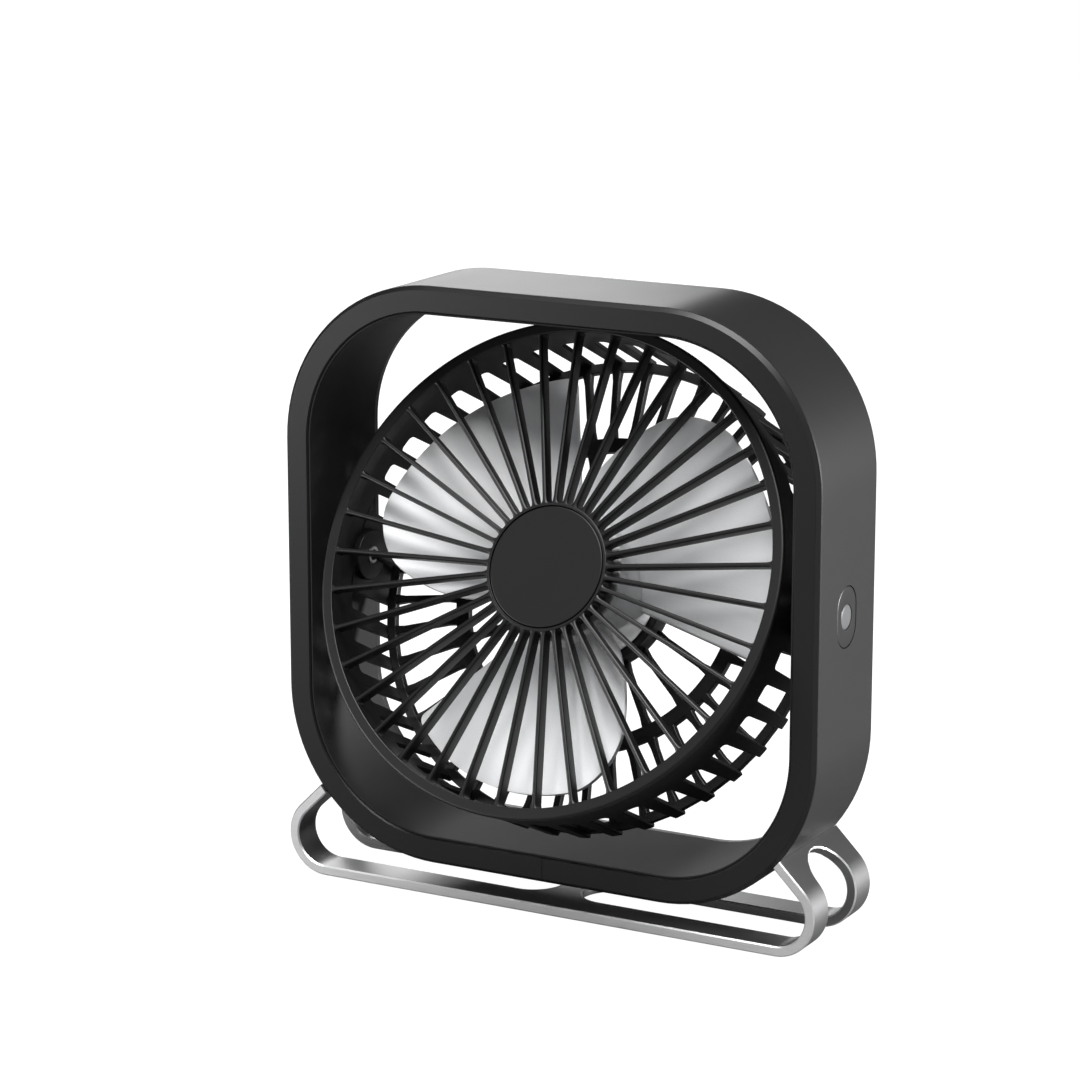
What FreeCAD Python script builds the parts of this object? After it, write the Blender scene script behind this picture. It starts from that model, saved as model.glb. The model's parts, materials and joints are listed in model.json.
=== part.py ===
"""Desk fan: a round fan head tilts inside a rounded-square frame that stands on a bent metal strip.

Millimetres. +Z is up, the fan blows towards -Y, and +X is on the right of a person facing the fan.
The origin is on the desk, under the middle of the frame.

The head is drawn level, about its pivot at (0, 0, 0). In it a distance "ahead" is measured from the
pivot towards -Y, and an angle is measured about the fan's axis from +X towards +Z.
Every head piece is then tilted about the X axis and lifted to the height of the frame's centre.
"""
import FreeCAD, Part
import math
import os
from FreeCAD import Vector

# ---- frame ----
FRAME_SIZE = 170.0          # outside of the square, both ways
FRAME_DEPTH = 38.5          # front face to back face
FRAME_CORNER = 48.2         # outside radius of the rounded corners
FRAME_RIM = 8.2             # from the outer face to the opening
SHELL_WALL = 2.0
BACK_WALL = 2.0
LINER_WALL = 1.5
BEZEL_THICK = 1.6
BEZEL_CHAMFER = 1.2         # round the outside of the front face
BEZEL_INNER_CHAMFER = 0.4
BEZEL_SEAM = 0.15           # the slit where the ends of the trim meet
BEZEL_TONGUE = 1.6          # how far the locating tongue reaches behind the trim
LIP_WALL = 0.55             # front edge of the liner, seen inside the trim
LIP_SETBACK = 0.6
FIT_GAP = 0.05              # between parts that seat in each other
FRAME_SCREW_SPREAD = 60.0   # side to side, at the top and at the bottom
FRAME_SCREW_R = 1.0
FRAME_SCREW_HEAD_R = 1.8
FRAME_SCREW_REACH = 6.0
SCREW_BOSS_R = 2.1

# ---- stand ----
STRIP_THICK = 3.0
STAND_OVERHANG = 0.5        # how far each bend stands out past the frame
STAND_BEND_R = 12.0         # outside radius of each bend
STAND_GAP = 6.5             # from the rail's top to the underside of the frame
ARM_LEAN = 45.0             # degrees from the desk, leaning inwards
STAND_SLOT_WIDTH = 18.5
STAND_BRIDGE = 8.0          # web left between the two slots
SLOT_TO_FRAME = 2.0         # from a slot's end to the frame
STAND_EDGE_CHAMFER = 0.35
TONGUE_WIDTH = 28.0         # the part of each arm that goes into the frame
TONGUE_REACH = 4.0          # how far it stands into the frame's cavity
PAD_THICK = 0.8
PAD_PROUD = 0.4
PAD_LENGTH = 24.0
PAD_WIDTH = 6.0
PAD_SPREAD = 112.0          # side to side
STAND_SCREW_R = 1.0
STAND_SCREW_HEAD_R = 1.6
STAND_SCREW_HEAD = 1.1
CLAMP_THICK = 4.2
CLAMP_HEIGHT = 3.2
CLAMP_WIDTH = 24.0

# ---- fan head ----
HEAD_TILT = 25.0            # degrees up from level, as it stands
GRILLE_OVERHANG = 0.8       # how far the front ring stands out past the cage
GRILLE_FACE_WIDTH = 3.5     # width of the front ring's face
GRILLE_FACE = 18.8          # ahead of the pivot
GRILLE_RING_DEPTH = 5.0
GRILLE_FLANGE = 1.7         # thickness of the ring that shows in front
PARTING_GROOVE = 1.2        # between the front ring and the cage
GRILLE_RIBS = 37
RIB_WIDTH = 1.3
RIB_DEPTH = 4.0
HUB_R = 18.7                # front hub of the grille
HUB_WALL = 1.2
HUB_DEPTH = 5.0
HUB_FLOOR = 1.4
CAP_GROOVE = 0.3            # ring-shaped line round the cap
CAP_THICK = 1.2
CAGE_R = 71.4               # outside of the cage's front band
CAGE_WALL = 2.0
CAGE_BACK = 19.7            # behind the pivot
CAGE_LIP = 1.3              # wall in front of the spigot's seat
CAGE_STRUTS = 44
STRUT_STEP = 0.4            # the struts stand this much inside the band
WINDOW_FRONT = 5.5          # ahead of the pivot, where the side windows start
WINDOW_FRONT_WIDTH = 5.2
WINDOW_BACK_WIDTH = 6.6
WINDOW_CORNER = 1.6
LATTICE_THICK = 2.6
LATTICE_RIB = 2.0
LATTICE_EDGE_STEP = 1.4     # from the cage's outside in to the corners of the lattice
LATTICE_EDGE_WIDTH = 3.0
LATTICE_MID_R = 46.8
LATTICE_MID_WIDTH = 4.3
REAR_HUB_R = 22.5
REAR_HUB_WALL = 1.6
REAR_HUB_FRONT = -13.2      # ahead of the pivot
REAR_HUB_FLOOR = 1.6

# ---- tilt pivots ----
PIN_R = 2.5
PIN_BORE_R = 1.6
PIN_RUNNING_GAP = 0.05
PIVOT_PAD_R = 7.6
PIVOT_SLACK = 0.4           # left between the pad, the washers and the bush
PIVOT_PAD_INSIDE = 4.4      # how far the pad reaches inside the band
BUSH_R = 4.0
BUSH_FLANGE_R = 7.6
BUSH_FLANGE = 1.2
BUSH_TAIL = 0.4             # beyond the liner, inside the frame
STOP_R = 6.6                # from the pivot to the stop peg
STOP_PEG_R = 0.6
STOP_DEPTH = 1.0
TILT_DOWN = 30.0            # lowest and highest tilt, degrees from level
TILT_UP = 90.0
WASHER_R = 5.6
FRICTION_DISC = 1.0
WAVE_WASHER = 0.9
WASHER_GAP = 0.1
PIN_CLIP = 0.5

# ---- motor and impeller ----
SHAFT_R = 1.5
SHAFT_RUNNING_GAP = 0.02
BEARING_R = 4.0
BEARING_LENGTH = 3.0
TUBE_WALL = 0.6
BASE_INSET = 0.3            # from the stator's radius to the flange's
BASE_THICK = 1.4
TUBE_FRONT = 7.0            # ahead of the pivot
AIR_GAP = 0.5               # between the magnets and the stator
STATOR_BACK = -6.0
STATOR_FRONT = 3.0
STATOR_TEETH = 9
TOOTH_WIDTH = 2.4
MAGNET_WALL = 1.7
YOKE_WALL = 1.0
YOKE_GAP = 0.2              # between the yoke and the impeller's hub
IMPELLER_HUB_R = 20.4
IMPELLER_HUB_WALL = 1.7
IMPELLER_BACK = -12.7
IMPELLER_FRONT = 12.6
IMPELLER_FACE = 1.6
BOSS_R = 3.5
BLADES = 3
BLADE_CLEARANCE = 6.4       # from the blades' tips to the cage
BLADE_THICK = 1.8
BLADE_START = 105.0         # degrees, leading edge of the first blade
BLADE_SPAN = 72.0           # degrees at the tip
BLADE_SWEEP = 31.0          # more degrees at the hub
BLADE_RISE = 17.0           # from the leading edge to the trailing edge
BLADE_CAMBER = 1.6
BLADE_TRAILING_ROUND = 13.0
BLADE_LEADING_ROUND = 3.0

# ---- small hardware ----
PIN_CLIP_GROOVE = 0.4
CLIP_GAP = 0.1
SHAFT_GROOVE = 0.35
COVER_THICK = 1.4
COVER_RIM = 2.0
COVER_DISH = 0.4
MOTOR_SCREW_R = 1.0
MOTOR_SCREW_HEAD_R = 1.9
MOTOR_SCREW_HEAD = 1.2
MOTOR_SCREW_CIRCLE = 11.5
MOTOR_SCREW_TURNS = (30.0, 150.0, 270.0)
MOTOR_BOARD_R = 14.0
MOTOR_BOARD_STANDOFF = 0.8
SHOE_THICK = 1.2            # wide ends of the stator's teeth
SHOE_GAP = 1.8
WINDING_THICK = 1.4         # of the coils, fore and aft of a tooth

# ---- power button, boards and leads ----
BUTTON_HALF_WIDTH = 6.4
BUTTON_STRAIGHT = 5.0       # length of the straight sides
BUTTON_GAP = 0.2
BUTTON_FLANGE = 0.7
BUTTON_TRAVEL = 0.6
LENS_R = 3.5
BOARD_THICK = 0.8
BOARD_WIDTH = 28.0
BOARD_HEIGHT = 44.0
BOARD_STANDOFF = 1.3        # from the liner
SWITCH_DROP = 5.6           # below the button's centre
INLET_WIDTH = 8.9
INLET_HEIGHT = 3.2
INLET_LENGTH = 7.3
INLET_WALL = 0.3
INLET_RISE = 0.3            # above the middle of the lower edge
INLET_SINK = 0.2            # from the back face in to the sleeve's end
INLET_BOARD_LENGTH = 11.8
LEAD_R = 0.8
LEAD_TURN = 6.0             # bend radius of the leads in the frame
LEAD_LANE_Y = -15.0         # beside the stand's tongues
LEAD_HOLE_X = -8.5          # where the motor's lead goes through its flange
LEAD_BACK = 16.2            # behind the pivot, in front of the lattice
LEAD_BEND = 1.8             # bend radius of the motor's lead
LEAD_HOLE_GAP = 0.2         # round a lead in its hole
SWITCH_HEIGHT = 0.9
SWITCH_HALF = 2.3
PLUNGER_R = 1.0
BOARD_SCREW_R = 0.8
BOARD_SCREW_REACH = 1.0
BOARD_SCREW_INSET = 3.0
FLANGE_THICK = 0.7          # of the button's flange
FLANGE_GAP = 0.1            # between the flange and the shell

HALF = FRAME_SIZE / 2
FRONT_Y = -FRAME_DEPTH / 2
BACK_Y = FRAME_DEPTH / 2
OPEN_HALF = HALF - FRAME_RIM
LINER_HALF = OPEN_HALF + LINER_WALL
CAVITY_HALF = HALF - SHELL_WALL
CENTRE_HEIGHT = PAD_PROUD + STRIP_THICK + STAND_GAP + HALF
GRILLE_R = CAGE_R + GRILLE_OVERHANG
GRILLE_OPEN_R = GRILLE_R - GRILLE_FACE_WIDTH
STRUT_R = CAGE_R - STRUT_STEP
LATTICE_EDGE_R = CAGE_R - LATTICE_EDGE_STEP
BLADE_R = CAGE_R - CAGE_WALL - BLADE_CLEARANCE
MAGNET_R = IMPELLER_HUB_R - IMPELLER_HUB_WALL - YOKE_GAP - YOKE_WALL
STATOR_R = MAGNET_R - MAGNET_WALL - AIR_GAP
BASE_R = STATOR_R - BASE_INSET
STRUT_PITCH = 360.0 / CAGE_STRUTS
STAND_SPREAD = FRAME_SIZE + 2 * STAND_OVERHANG
BUSH_FACE_X = OPEN_HALF - BUSH_FLANGE
PAD_FACE_X = BUSH_FACE_X - FRICTION_DISC - WAVE_WASHER - WASHER_GAP - PIVOT_SLACK
BUSH_END_X = LINER_HALF + BUSH_TAIL
BOARD_X = LINER_HALF + BOARD_STANDOFF
BOARD_FACE_X = BOARD_X + BOARD_THICK
CLIP_SPAN = (BUSH_END_X + CLIP_GAP, BUSH_END_X + CLIP_GAP + PIN_CLIP)
LEFT_PIN_END = CLIP_SPAN[1] + 0.2
RIGHT_PIN_END = BUSH_END_X - CLIP_GAP
REAR_BEARING_BACK = REAR_HUB_FRONT + 1.4
SHAFT_CLIP_SPAN = (REAR_BEARING_BACK - 0.85, REAR_BEARING_BACK - 0.45)
SHAFT_BACK = SHAFT_CLIP_SPAN[0] - 0.6
FLANGE_SPAN = (CAVITY_HALF - FLANGE_GAP - FLANGE_THICK, CAVITY_HALF - FLANGE_GAP)
INLET_Z = -(LINER_HALF + CAVITY_HALF) / 2 + INLET_RISE
INLET_BOARD_FRONT = BACK_Y - BACK_WALL - INLET_SINK - INLET_BOARD_LENGTH
LEAD_SIDE_X = PIVOT_PAD_INSIDE + LEAD_R + 0.3 - CAGE_R
LEAD_END_Z = -BOARD_HEIGHT / 2 - FIT_GAP

X_AXIS = Vector(1, 0, 0)
Y_AXIS = Vector(0, 1, 0)
PIVOT = Vector(0, 0, 0)


# ---- helpers ----
def turned(shape, axis, degrees):
    """A copy of the shape, turned about an axis through the pivot."""
    copy = shape.copy()
    copy.rotate(PIVOT, axis, degrees)
    return copy


def around(shape, count, start=90.0):
    """Copies of a shape drawn at 90 degrees, evenly spaced round the fan's axis from the start angle."""
    return [turned(shape, Y_AXIS, 90.0 - start - 360.0 * i / count) for i in range(count)]


def lifted(shape):
    """Move a frame piece up from the pivot to its place above the desk."""
    shape.translate(Vector(0, 0, CENTRE_HEIGHT))
    return shape


def tilted(shape):
    """Tilt a head piece about the pivot, then move it up to its place in the frame."""
    shape.rotate(PIVOT, X_AXIS, -HEAD_TILT)
    return lifted(shape)


def mirrored(shape):
    """The same piece on the other side of the fan."""
    return shape.mirror(PIVOT, X_AXIS)


def box(x_range, y_range, z_range):
    low = Vector(x_range[0], y_range[0], z_range[0])
    return Part.makeBox(x_range[1] - x_range[0], y_range[1] - y_range[0], z_range[1] - z_range[0], low)


def rod(radius, back, front):
    """A cylinder on the fan's axis between two distances ahead of the pivot."""
    return Part.makeCylinder(radius, front - back, Vector(0, -front, 0), Y_AXIS)


def tube(outer, inner, back, front):
    return rod(outer, back, front).cut(rod(inner, back - 1, front + 1))


def side_rod(radius, start, end, y=0.0, z=0.0):
    """A cylinder along X."""
    return Part.makeCylinder(radius, end - start, Vector(start, y, z), X_AXIS)


def side_tube(outer, inner, start, end):
    return side_rod(outer, start, end).cut(side_rod(inner, start - 1, end + 1))


def polygon_prism(radius, sides, back, front):
    """A regular prism on the fan's axis, with one corner straight down."""
    turns = [math.radians(-90.0 + 360.0 * i / sides) for i in range(sides + 1)]
    corners = [Vector(radius * math.cos(t), -front, radius * math.sin(t)) for t in turns]
    return Part.Face(Part.makePolygon(corners)).extrude(Vector(0, front - back, 0))


def rounded_square(half, front_y, back_y):
    """A square prism along Y, its corners concentric with those of the frame."""
    radius = FRAME_CORNER - (HALF - half)
    block = box((-half, half), (front_y, back_y), (-half, half))
    corners = [e for e in block.Edges if abs(e.tangentAt(e.FirstParameter).y) > 0.99]
    return block.makeFillet(radius, corners)


def square_ring(outer_half, inner_half, front_y, back_y):
    inside = rounded_square(inner_half, front_y - 1, back_y + 1)
    return rounded_square(outer_half, front_y, back_y).cut(inside)


def stadium(half_width, straight, start, end):
    """A prism along X with straight upright sides and round ends, centred on the pivot's height."""
    ends = [side_rod(half_width, start, end, 0, s * straight / 2) for s in (-1, 1)]
    middle = box((start, end), (-half_width, half_width), (-straight / 2, straight / 2))
    return middle.multiFuse(ends).removeSplitter()


def outer_edges(shape, test):
    return [e for e in shape.Edges if all(test(v.Point) for v in e.Vertexes)]


def rounded_path(route):
    """Straight runs through a route of (point, bend radius), joined by tangent arcs."""
    edges = []
    start = route[0][0]
    for (before, _), (corner, radius), (after, _) in zip(route, route[1:], route[2:]):
        towards = (before - corner).normalize()
        away = (after - corner).normalize()
        half_turn = towards.getAngle(away) / 2
        arc_start = corner + towards * (radius / math.tan(half_turn))
        arc_end = corner + away * (radius / math.tan(half_turn))
        inwards = (towards + away).normalize()
        middle = corner + inwards * (radius / math.sin(half_turn) - radius)
        edges.append(Part.makeLine(start, arc_start))
        edges.append(Part.Arc(arc_start, middle, arc_end).toShape())
        start = arc_end
    edges.append(Part.makeLine(start, route[-1][0]))
    return Part.Wire(edges)


def lead_along(route):
    """A round lead that follows the route."""
    end = Part.Wire(Part.makeCircle(LEAD_R, route[0][0], route[1][0] - route[0][0]))
    return rounded_path(route).makePipeShell([end], True, True)


# ---- frame ----
def frame_screw_places():
    """X and Z of the screws that hold the back of the frame to the liner."""
    height = LINER_HALF + SCREW_BOSS_R - FIT_GAP
    return [(sx * FRAME_SCREW_SPREAD / 2, sz * height) for sx in (-1, 1) for sz in (-1, 1)]


def screw_cylinders(radius, start_y, end_y):
    return [
        Part.makeCylinder(radius, end_y - start_y, Vector(x, start_y, z), Y_AXIS)
        for x, z in frame_screw_places()
    ]


def make_frame_shell():
    """Outer wall and back wall in one piece, open to the front."""
    front = FRONT_Y + BEZEL_THICK
    shell = rounded_square(HALF, front, BACK_Y)
    back_rim = outer_edges(shell, lambda p: abs(p.y - BACK_Y) < 0.01)
    shell = shell.makeFillet(SHELL_WALL / 2, back_rim)
    shell = shell.cut(rounded_square(CAVITY_HALF, front - 1, BACK_Y - BACK_WALL))
    shell = shell.cut(rounded_square(OPEN_HALF, front - 1, BACK_Y + 1))
    holes = screw_cylinders(FRAME_SCREW_R + FIT_GAP, BACK_Y - BACK_WALL - 1, BACK_Y + 1)
    holes += screw_cylinders(FRAME_SCREW_HEAD_R + FIT_GAP, BACK_Y - BACK_WALL / 2, BACK_Y + 1)
    holes.append(stadium(BUTTON_HALF_WIDTH, BUTTON_STRAIGHT, CAVITY_HALF - 1, HALF + 1))
    inlet_size = (INLET_WIDTH / 2 + BUTTON_GAP, INLET_HEIGHT / 2 + BUTTON_GAP)
    holes.append(inlet_body(*inlet_size, BACK_Y - BACK_WALL - 1, BACK_Y + 1))
    holes += [arm_slot(1), arm_slot(-1)]
    return lifted(shell.cut(holes))


def make_frame_liner():
    """The wall of the opening, with the screw posts, the board posts and the holes for the bushes."""
    back = BACK_Y - BACK_WALL
    liner = square_ring(LINER_HALF, OPEN_HALF, FRONT_Y + BEZEL_THICK, back)
    lip_back = FRONT_Y + BEZEL_THICK + LIP_WALL
    lip = square_ring(OPEN_HALF + LIP_WALL, OPEN_HALF, FRONT_Y + LIP_SETBACK, lip_back)
    posts = screw_cylinders(SCREW_BOSS_R, back - FRAME_SCREW_REACH, back)
    board_posts = board_screw_rods(SCREW_BOSS_R, LINER_HALF - LINER_WALL / 2, BOARD_X)
    liner = liner.multiFuse([lip] + posts + board_posts)
    holes = screw_cylinders(FRAME_SCREW_R, back - FRAME_SCREW_REACH + 1, back + 1)
    holes += [side_rod(BUSH_R + FIT_GAP, s * LINER_HALF - 3, s * LINER_HALF + 3) for s in (-1, 1)]
    holes += board_screw_rods(BOARD_SCREW_R, BOARD_X - BOARD_SCREW_REACH, BOARD_X + 1)
    return lifted(liner.cut(holes))


def make_front_bezel():
    """Flat trim ring across the front, chamfered inside and out, slit at the bottom."""
    inner = OPEN_HALF + LIP_WALL + FIT_GAP
    ring = square_ring(HALF, inner, FRONT_Y, FRONT_Y + BEZEL_THICK)
    on_front = outer_edges(ring, lambda p: abs(p.y - FRONT_Y) < 0.01)
    outside = [e for e in on_front if is_outside(e, (HALF + inner) / 2)]
    ring = ring.makeChamfer(BEZEL_CHAMFER, outside)
    on_front = outer_edges(ring, lambda p: abs(p.y - FRONT_Y) < 0.01)
    inside = [e for e in on_front if not is_outside(e, inner + 1)]
    ring = ring.makeChamfer(BEZEL_INNER_CHAMFER, inside)
    behind = FRONT_Y + BEZEL_THICK
    tongue = square_ring(CAVITY_HALF - FIT_GAP, CAVITY_HALF - 1, behind - 0.2, behind + BEZEL_TONGUE)
    slit = box((-BEZEL_SEAM / 2, BEZEL_SEAM / 2), (FRONT_Y - 1, BACK_Y), (-HALF - 1, 0))
    return lifted(ring.fuse(tongue).cut(slit))


def is_outside(edge, limit):
    """Whether the middle of an edge lies beyond a rounded square of that half size."""
    middle = edge.valueAt((edge.FirstParameter + edge.LastParameter) / 2)
    corner = FRAME_CORNER - (HALF - limit)
    across = max(abs(middle.x) - (limit - corner), 0)
    up = max(abs(middle.z) - (limit - corner), 0)
    return math.hypot(across, up) > corner


def make_frame_screws():
    head = screw_cylinders(FRAME_SCREW_HEAD_R, BACK_Y - BACK_WALL / 2, BACK_Y - 0.1)
    shank_front = BACK_Y - BACK_WALL - FRAME_SCREW_REACH + 1
    shank = screw_cylinders(FRAME_SCREW_R, shank_front, BACK_Y - BACK_WALL / 2)
    return lifted(Part.makeCompound([h.fuse(s).removeSplitter() for h, s in zip(head, shank)]))


# ---- stand ----
def arm_point(along, across):
    """A point beside the right arm: along it from the end of its bend, and across from its outer face."""
    lean = math.radians(ARM_LEAN)
    bend_x = STAND_SPREAD / 2 - STAND_BEND_R
    bend_z = PAD_PROUD + STAND_BEND_R - CENTRE_HEIGHT
    outwards = (math.sin(lean), math.cos(lean))
    x = bend_x + (STAND_BEND_R - across) * outwards[0] - along * math.cos(lean)
    z = bend_z + (STAND_BEND_R - across) * outwards[1] + along * math.sin(lean)
    return Vector(x, 0, z)


def arm_distance_to(radius):
    """How far along the arm's middle it comes within a radius of the frame's corner centre."""
    centre = Vector(HALF - FRAME_CORNER, 0, FRAME_CORNER - HALF)
    start = arm_point(0, STRIP_THICK / 2)
    direction = (arm_point(1, STRIP_THICK / 2) - start).normalize()
    along = (centre - start).dot(direction)
    offset = (start + direction * along - centre).Length
    return along - math.sqrt(radius ** 2 - offset ** 2)


def arm_block(along_range, across_range, half_width):
    """A straight block lying along the right arm."""
    corners = [(0, 0), (1, 0), (1, 1), (0, 1), (0, 0)]
    outline = [arm_point(along_range[i], across_range[j]) for i, j in corners]
    face = Part.Face(Part.makePolygon(outline))
    face.translate(Vector(0, -half_width, 0))
    return face.extrude(Vector(0, 2 * half_width, 0))


def arm_slot(side):
    """The opening in the frame's corner for the arm's tongue."""
    reach = (arm_distance_to(FRAME_CORNER) - 2, arm_distance_to(FRAME_CORNER - SHELL_WALL) + 1)
    slot = arm_block(reach, (-FIT_GAP, STRIP_THICK + FIT_GAP), TONGUE_WIDTH / 2 + FIT_GAP)
    return slot if side > 0 else mirrored(slot)


def half_strip(width, outer_r, inner_r, rail_start, arm_length):
    """Rail, bend and arm of the right half, as one strip of the given width."""
    bend_x = STAND_SPREAD / 2 - STAND_BEND_R
    bend_z = PAD_PROUD + STAND_BEND_R - CENTRE_HEIGHT
    turn = math.radians(-ARM_LEAN / 2)
    edges = []
    ends = []
    for radius in (outer_r, inner_r):
        across = STAND_BEND_R - radius
        rail = Vector(rail_start, 0, bend_z - radius)
        low = Vector(bend_x, 0, bend_z - radius)
        middle = Vector(bend_x + radius * math.cos(turn), 0, bend_z + radius * math.sin(turn))
        high = arm_point(0, across)
        tip = arm_point(arm_length, across)
        edges += [Part.makeLine(rail, low), Part.Arc(low, middle, high).toShape(), Part.makeLine(high, tip)]
        ends.append((rail, tip))
    edges += [Part.makeLine(ends[0][0], ends[1][0]), Part.makeLine(ends[0][1], ends[1][1])]
    face = Part.Face(Part.Wire(Part.__sortEdges__(edges)))
    face.translate(Vector(0, -width / 2, 0))
    return face.extrude(Vector(0, width, 0))


def make_stand():
    """One strip: a rail on the desk, a bend at each end and two arms that enter the frame."""
    arm_end = arm_distance_to(FRAME_CORNER - SHELL_WALL - TONGUE_REACH)
    inner_r = STAND_BEND_R - STRIP_THICK
    strip = half_strip(FRAME_DEPTH, STAND_BEND_R, inner_r, 0, arm_end)
    edges = outer_edges(strip, lambda p: abs(abs(p.y) - FRAME_DEPTH / 2) < 0.01 and p.x > 0.01)
    strip = strip.makeChamfer(STAND_EDGE_CHAMFER, edges)
    outside = strip.cut(rounded_square(HALF + FIT_GAP, FRONT_Y - 1, BACK_Y + 1))
    tongue = arm_block((arm_distance_to(FRAME_CORNER) - 3, arm_end), (0, STRIP_THICK), TONGUE_WIDTH / 2)
    half = outside.fuse(tongue).cut(stand_slot() + stand_screw_rods(STAND_SCREW_R + FIT_GAP))
    stand = half.fuse(mirrored(half)).removeSplitter()
    return lifted(stand.cut([pad_at(x, y) for x, y in pad_places()]))


def stand_slot():
    """Cutters for the right slot. It runs from the bridge round the bend and up the arm, with round ends."""
    half_width = STAND_SLOT_WIDTH / 2
    start = STAND_BRIDGE / 2 + half_width
    apex = arm_distance_to(FRAME_CORNER) - SLOT_TO_FRAME
    end = apex - half_width
    inner_r = STAND_BEND_R - STRIP_THICK
    slot = half_strip(STAND_SLOT_WIDTH, STAND_BEND_R + 1, inner_r - 1, start, apex)
    outwards = (arm_point(0, 0) - arm_point(0, 1)).normalize()
    arm_round = Part.makeCylinder(half_width, STRIP_THICK + 4, arm_point(end, STRIP_THICK + 2), outwards)
    corners = arm_block((end, apex + 1), (-2, STRIP_THICK + 2), half_width + 1).cut(arm_round)
    below = Vector(start, 0, PAD_PROUD - CENTRE_HEIGHT - 1)
    bridge_end = Part.makeCylinder(half_width, STRIP_THICK + 2, below)
    return [slot.cut(corners), bridge_end]


def pad_places():
    rail = (FRAME_DEPTH / 2 + STAND_SLOT_WIDTH / 2) / 2
    return [(sx * PAD_SPREAD / 2, sy * rail) for sx in (-1, 1) for sy in (-1, 1)]


def pad_at(x, y):
    """A thin pad with round ends, let into the underside of the rail."""
    low = -CENTRE_HEIGHT
    straight = (PAD_LENGTH - PAD_WIDTH) / 2
    ends = [Part.makeCylinder(PAD_WIDTH / 2, PAD_THICK, Vector(x + s * straight, y, low)) for s in (-1, 1)]
    y_range = (y - PAD_WIDTH / 2, y + PAD_WIDTH / 2)
    middle = box((x - straight, x + straight), y_range, (low, low + PAD_THICK))
    return middle.multiFuse(ends).removeSplitter()


def make_foot_pads():
    return lifted(Part.makeCompound([pad_at(x, y) for x, y in pad_places()]))


def tongue_middle():
    """How far along the arm the middle of its tongue is, inside the frame."""
    start = arm_distance_to(FRAME_CORNER - SHELL_WALL)
    return (start + arm_distance_to(FRAME_CORNER - SHELL_WALL - TONGUE_REACH)) / 2


def stand_screw_rods(radius, across_range=(-2.0, STRIP_THICK + 1.0)):
    """Rods through the right tongue, from its outer face towards the clamp."""
    start = arm_point(tongue_middle(), across_range[0])
    run = arm_point(tongue_middle(), across_range[1]) - start
    places = [start + Vector(0, s * CLAMP_WIDTH / 4, 0) for s in (-1, 1)]
    return [Part.makeCylinder(radius, run.Length, place, run) for place in places]


def make_stand_clamps():
    """A block behind each tongue, inside the frame, that its screws pull against."""
    along = (tongue_middle() - CLAMP_HEIGHT / 2, tongue_middle() + CLAMP_HEIGHT / 2)
    block = arm_block(along, (STRIP_THICK, STRIP_THICK + CLAMP_THICK), CLAMP_WIDTH / 2)
    block = block.cut(stand_screw_rods(STAND_SCREW_R, (0, STRIP_THICK + CLAMP_THICK - 1)))
    return lifted(Part.makeCompound([block, mirrored(block)]))


def make_stand_screws():
    shanks = stand_screw_rods(STAND_SCREW_R, (0, STRIP_THICK + CLAMP_THICK - 1.2))
    heads = stand_screw_rods(STAND_SCREW_HEAD_R, (-STAND_SCREW_HEAD, 0))
    right = [s.fuse(h).removeSplitter() for s, h in zip(shanks, heads)]
    return lifted(Part.makeCompound(right + [mirrored(s) for s in right]))


# ---- tilt pivots ----
def make_bush(side, peg):
    """Flanged bush in the liner. The left one carries the peg that stops the tilt."""
    barrel = side_tube(BUSH_R, PIN_R + PIN_RUNNING_GAP, OPEN_HALF, BUSH_END_X)
    flange = side_tube(BUSH_FLANGE_R, PIN_R + PIN_RUNNING_GAP, BUSH_FACE_X, OPEN_HALF)
    bush = barrel.fuse(flange)
    if peg:
        bush = bush.fuse(side_rod(STOP_PEG_R, PAD_FACE_X - STOP_DEPTH + 0.2, BUSH_FACE_X + 0.1, 0, STOP_R))
    bush = bush.removeSplitter()
    return lifted(bush if side > 0 else mirrored(bush))


def make_pivot_pin(side, end_x):
    """Hollow pin fixed in the cage, turning in the bush."""
    pin = side_tube(PIN_R, PIN_BORE_R, CAGE_R - PIVOT_PAD_INSIDE, end_x)
    if side < 0:
        pin = pin.cut(side_tube(PIN_R + 1, PIN_R - PIN_CLIP_GROOVE, *CLIP_SPAN))
    return tilted(pin if side > 0 else mirrored(pin))


def make_pin_clip():
    """Spring clip that keeps the left pin in its bush."""
    ring = side_tube(PIN_R + 1.2, PIN_R - PIN_CLIP_GROOVE, *CLIP_SPAN)
    mouth = box((CLIP_SPAN[0] - 1, CLIP_SPAN[1] + 1), (-1.2, 1.2), (0, PIN_R + 2))
    return tilted(mirrored(ring.cut(mouth)))


def washer_pair(start, thick):
    ring = side_tube(WASHER_R, PIN_R + PIN_RUNNING_GAP, start, start + thick)
    return tilted(Part.makeCompound([ring, mirrored(ring)]))


def make_friction_discs():
    return washer_pair(PAD_FACE_X, FRICTION_DISC)


def make_wave_washers():
    return washer_pair(PAD_FACE_X + FRICTION_DISC + WASHER_GAP, WAVE_WASHER)


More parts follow.
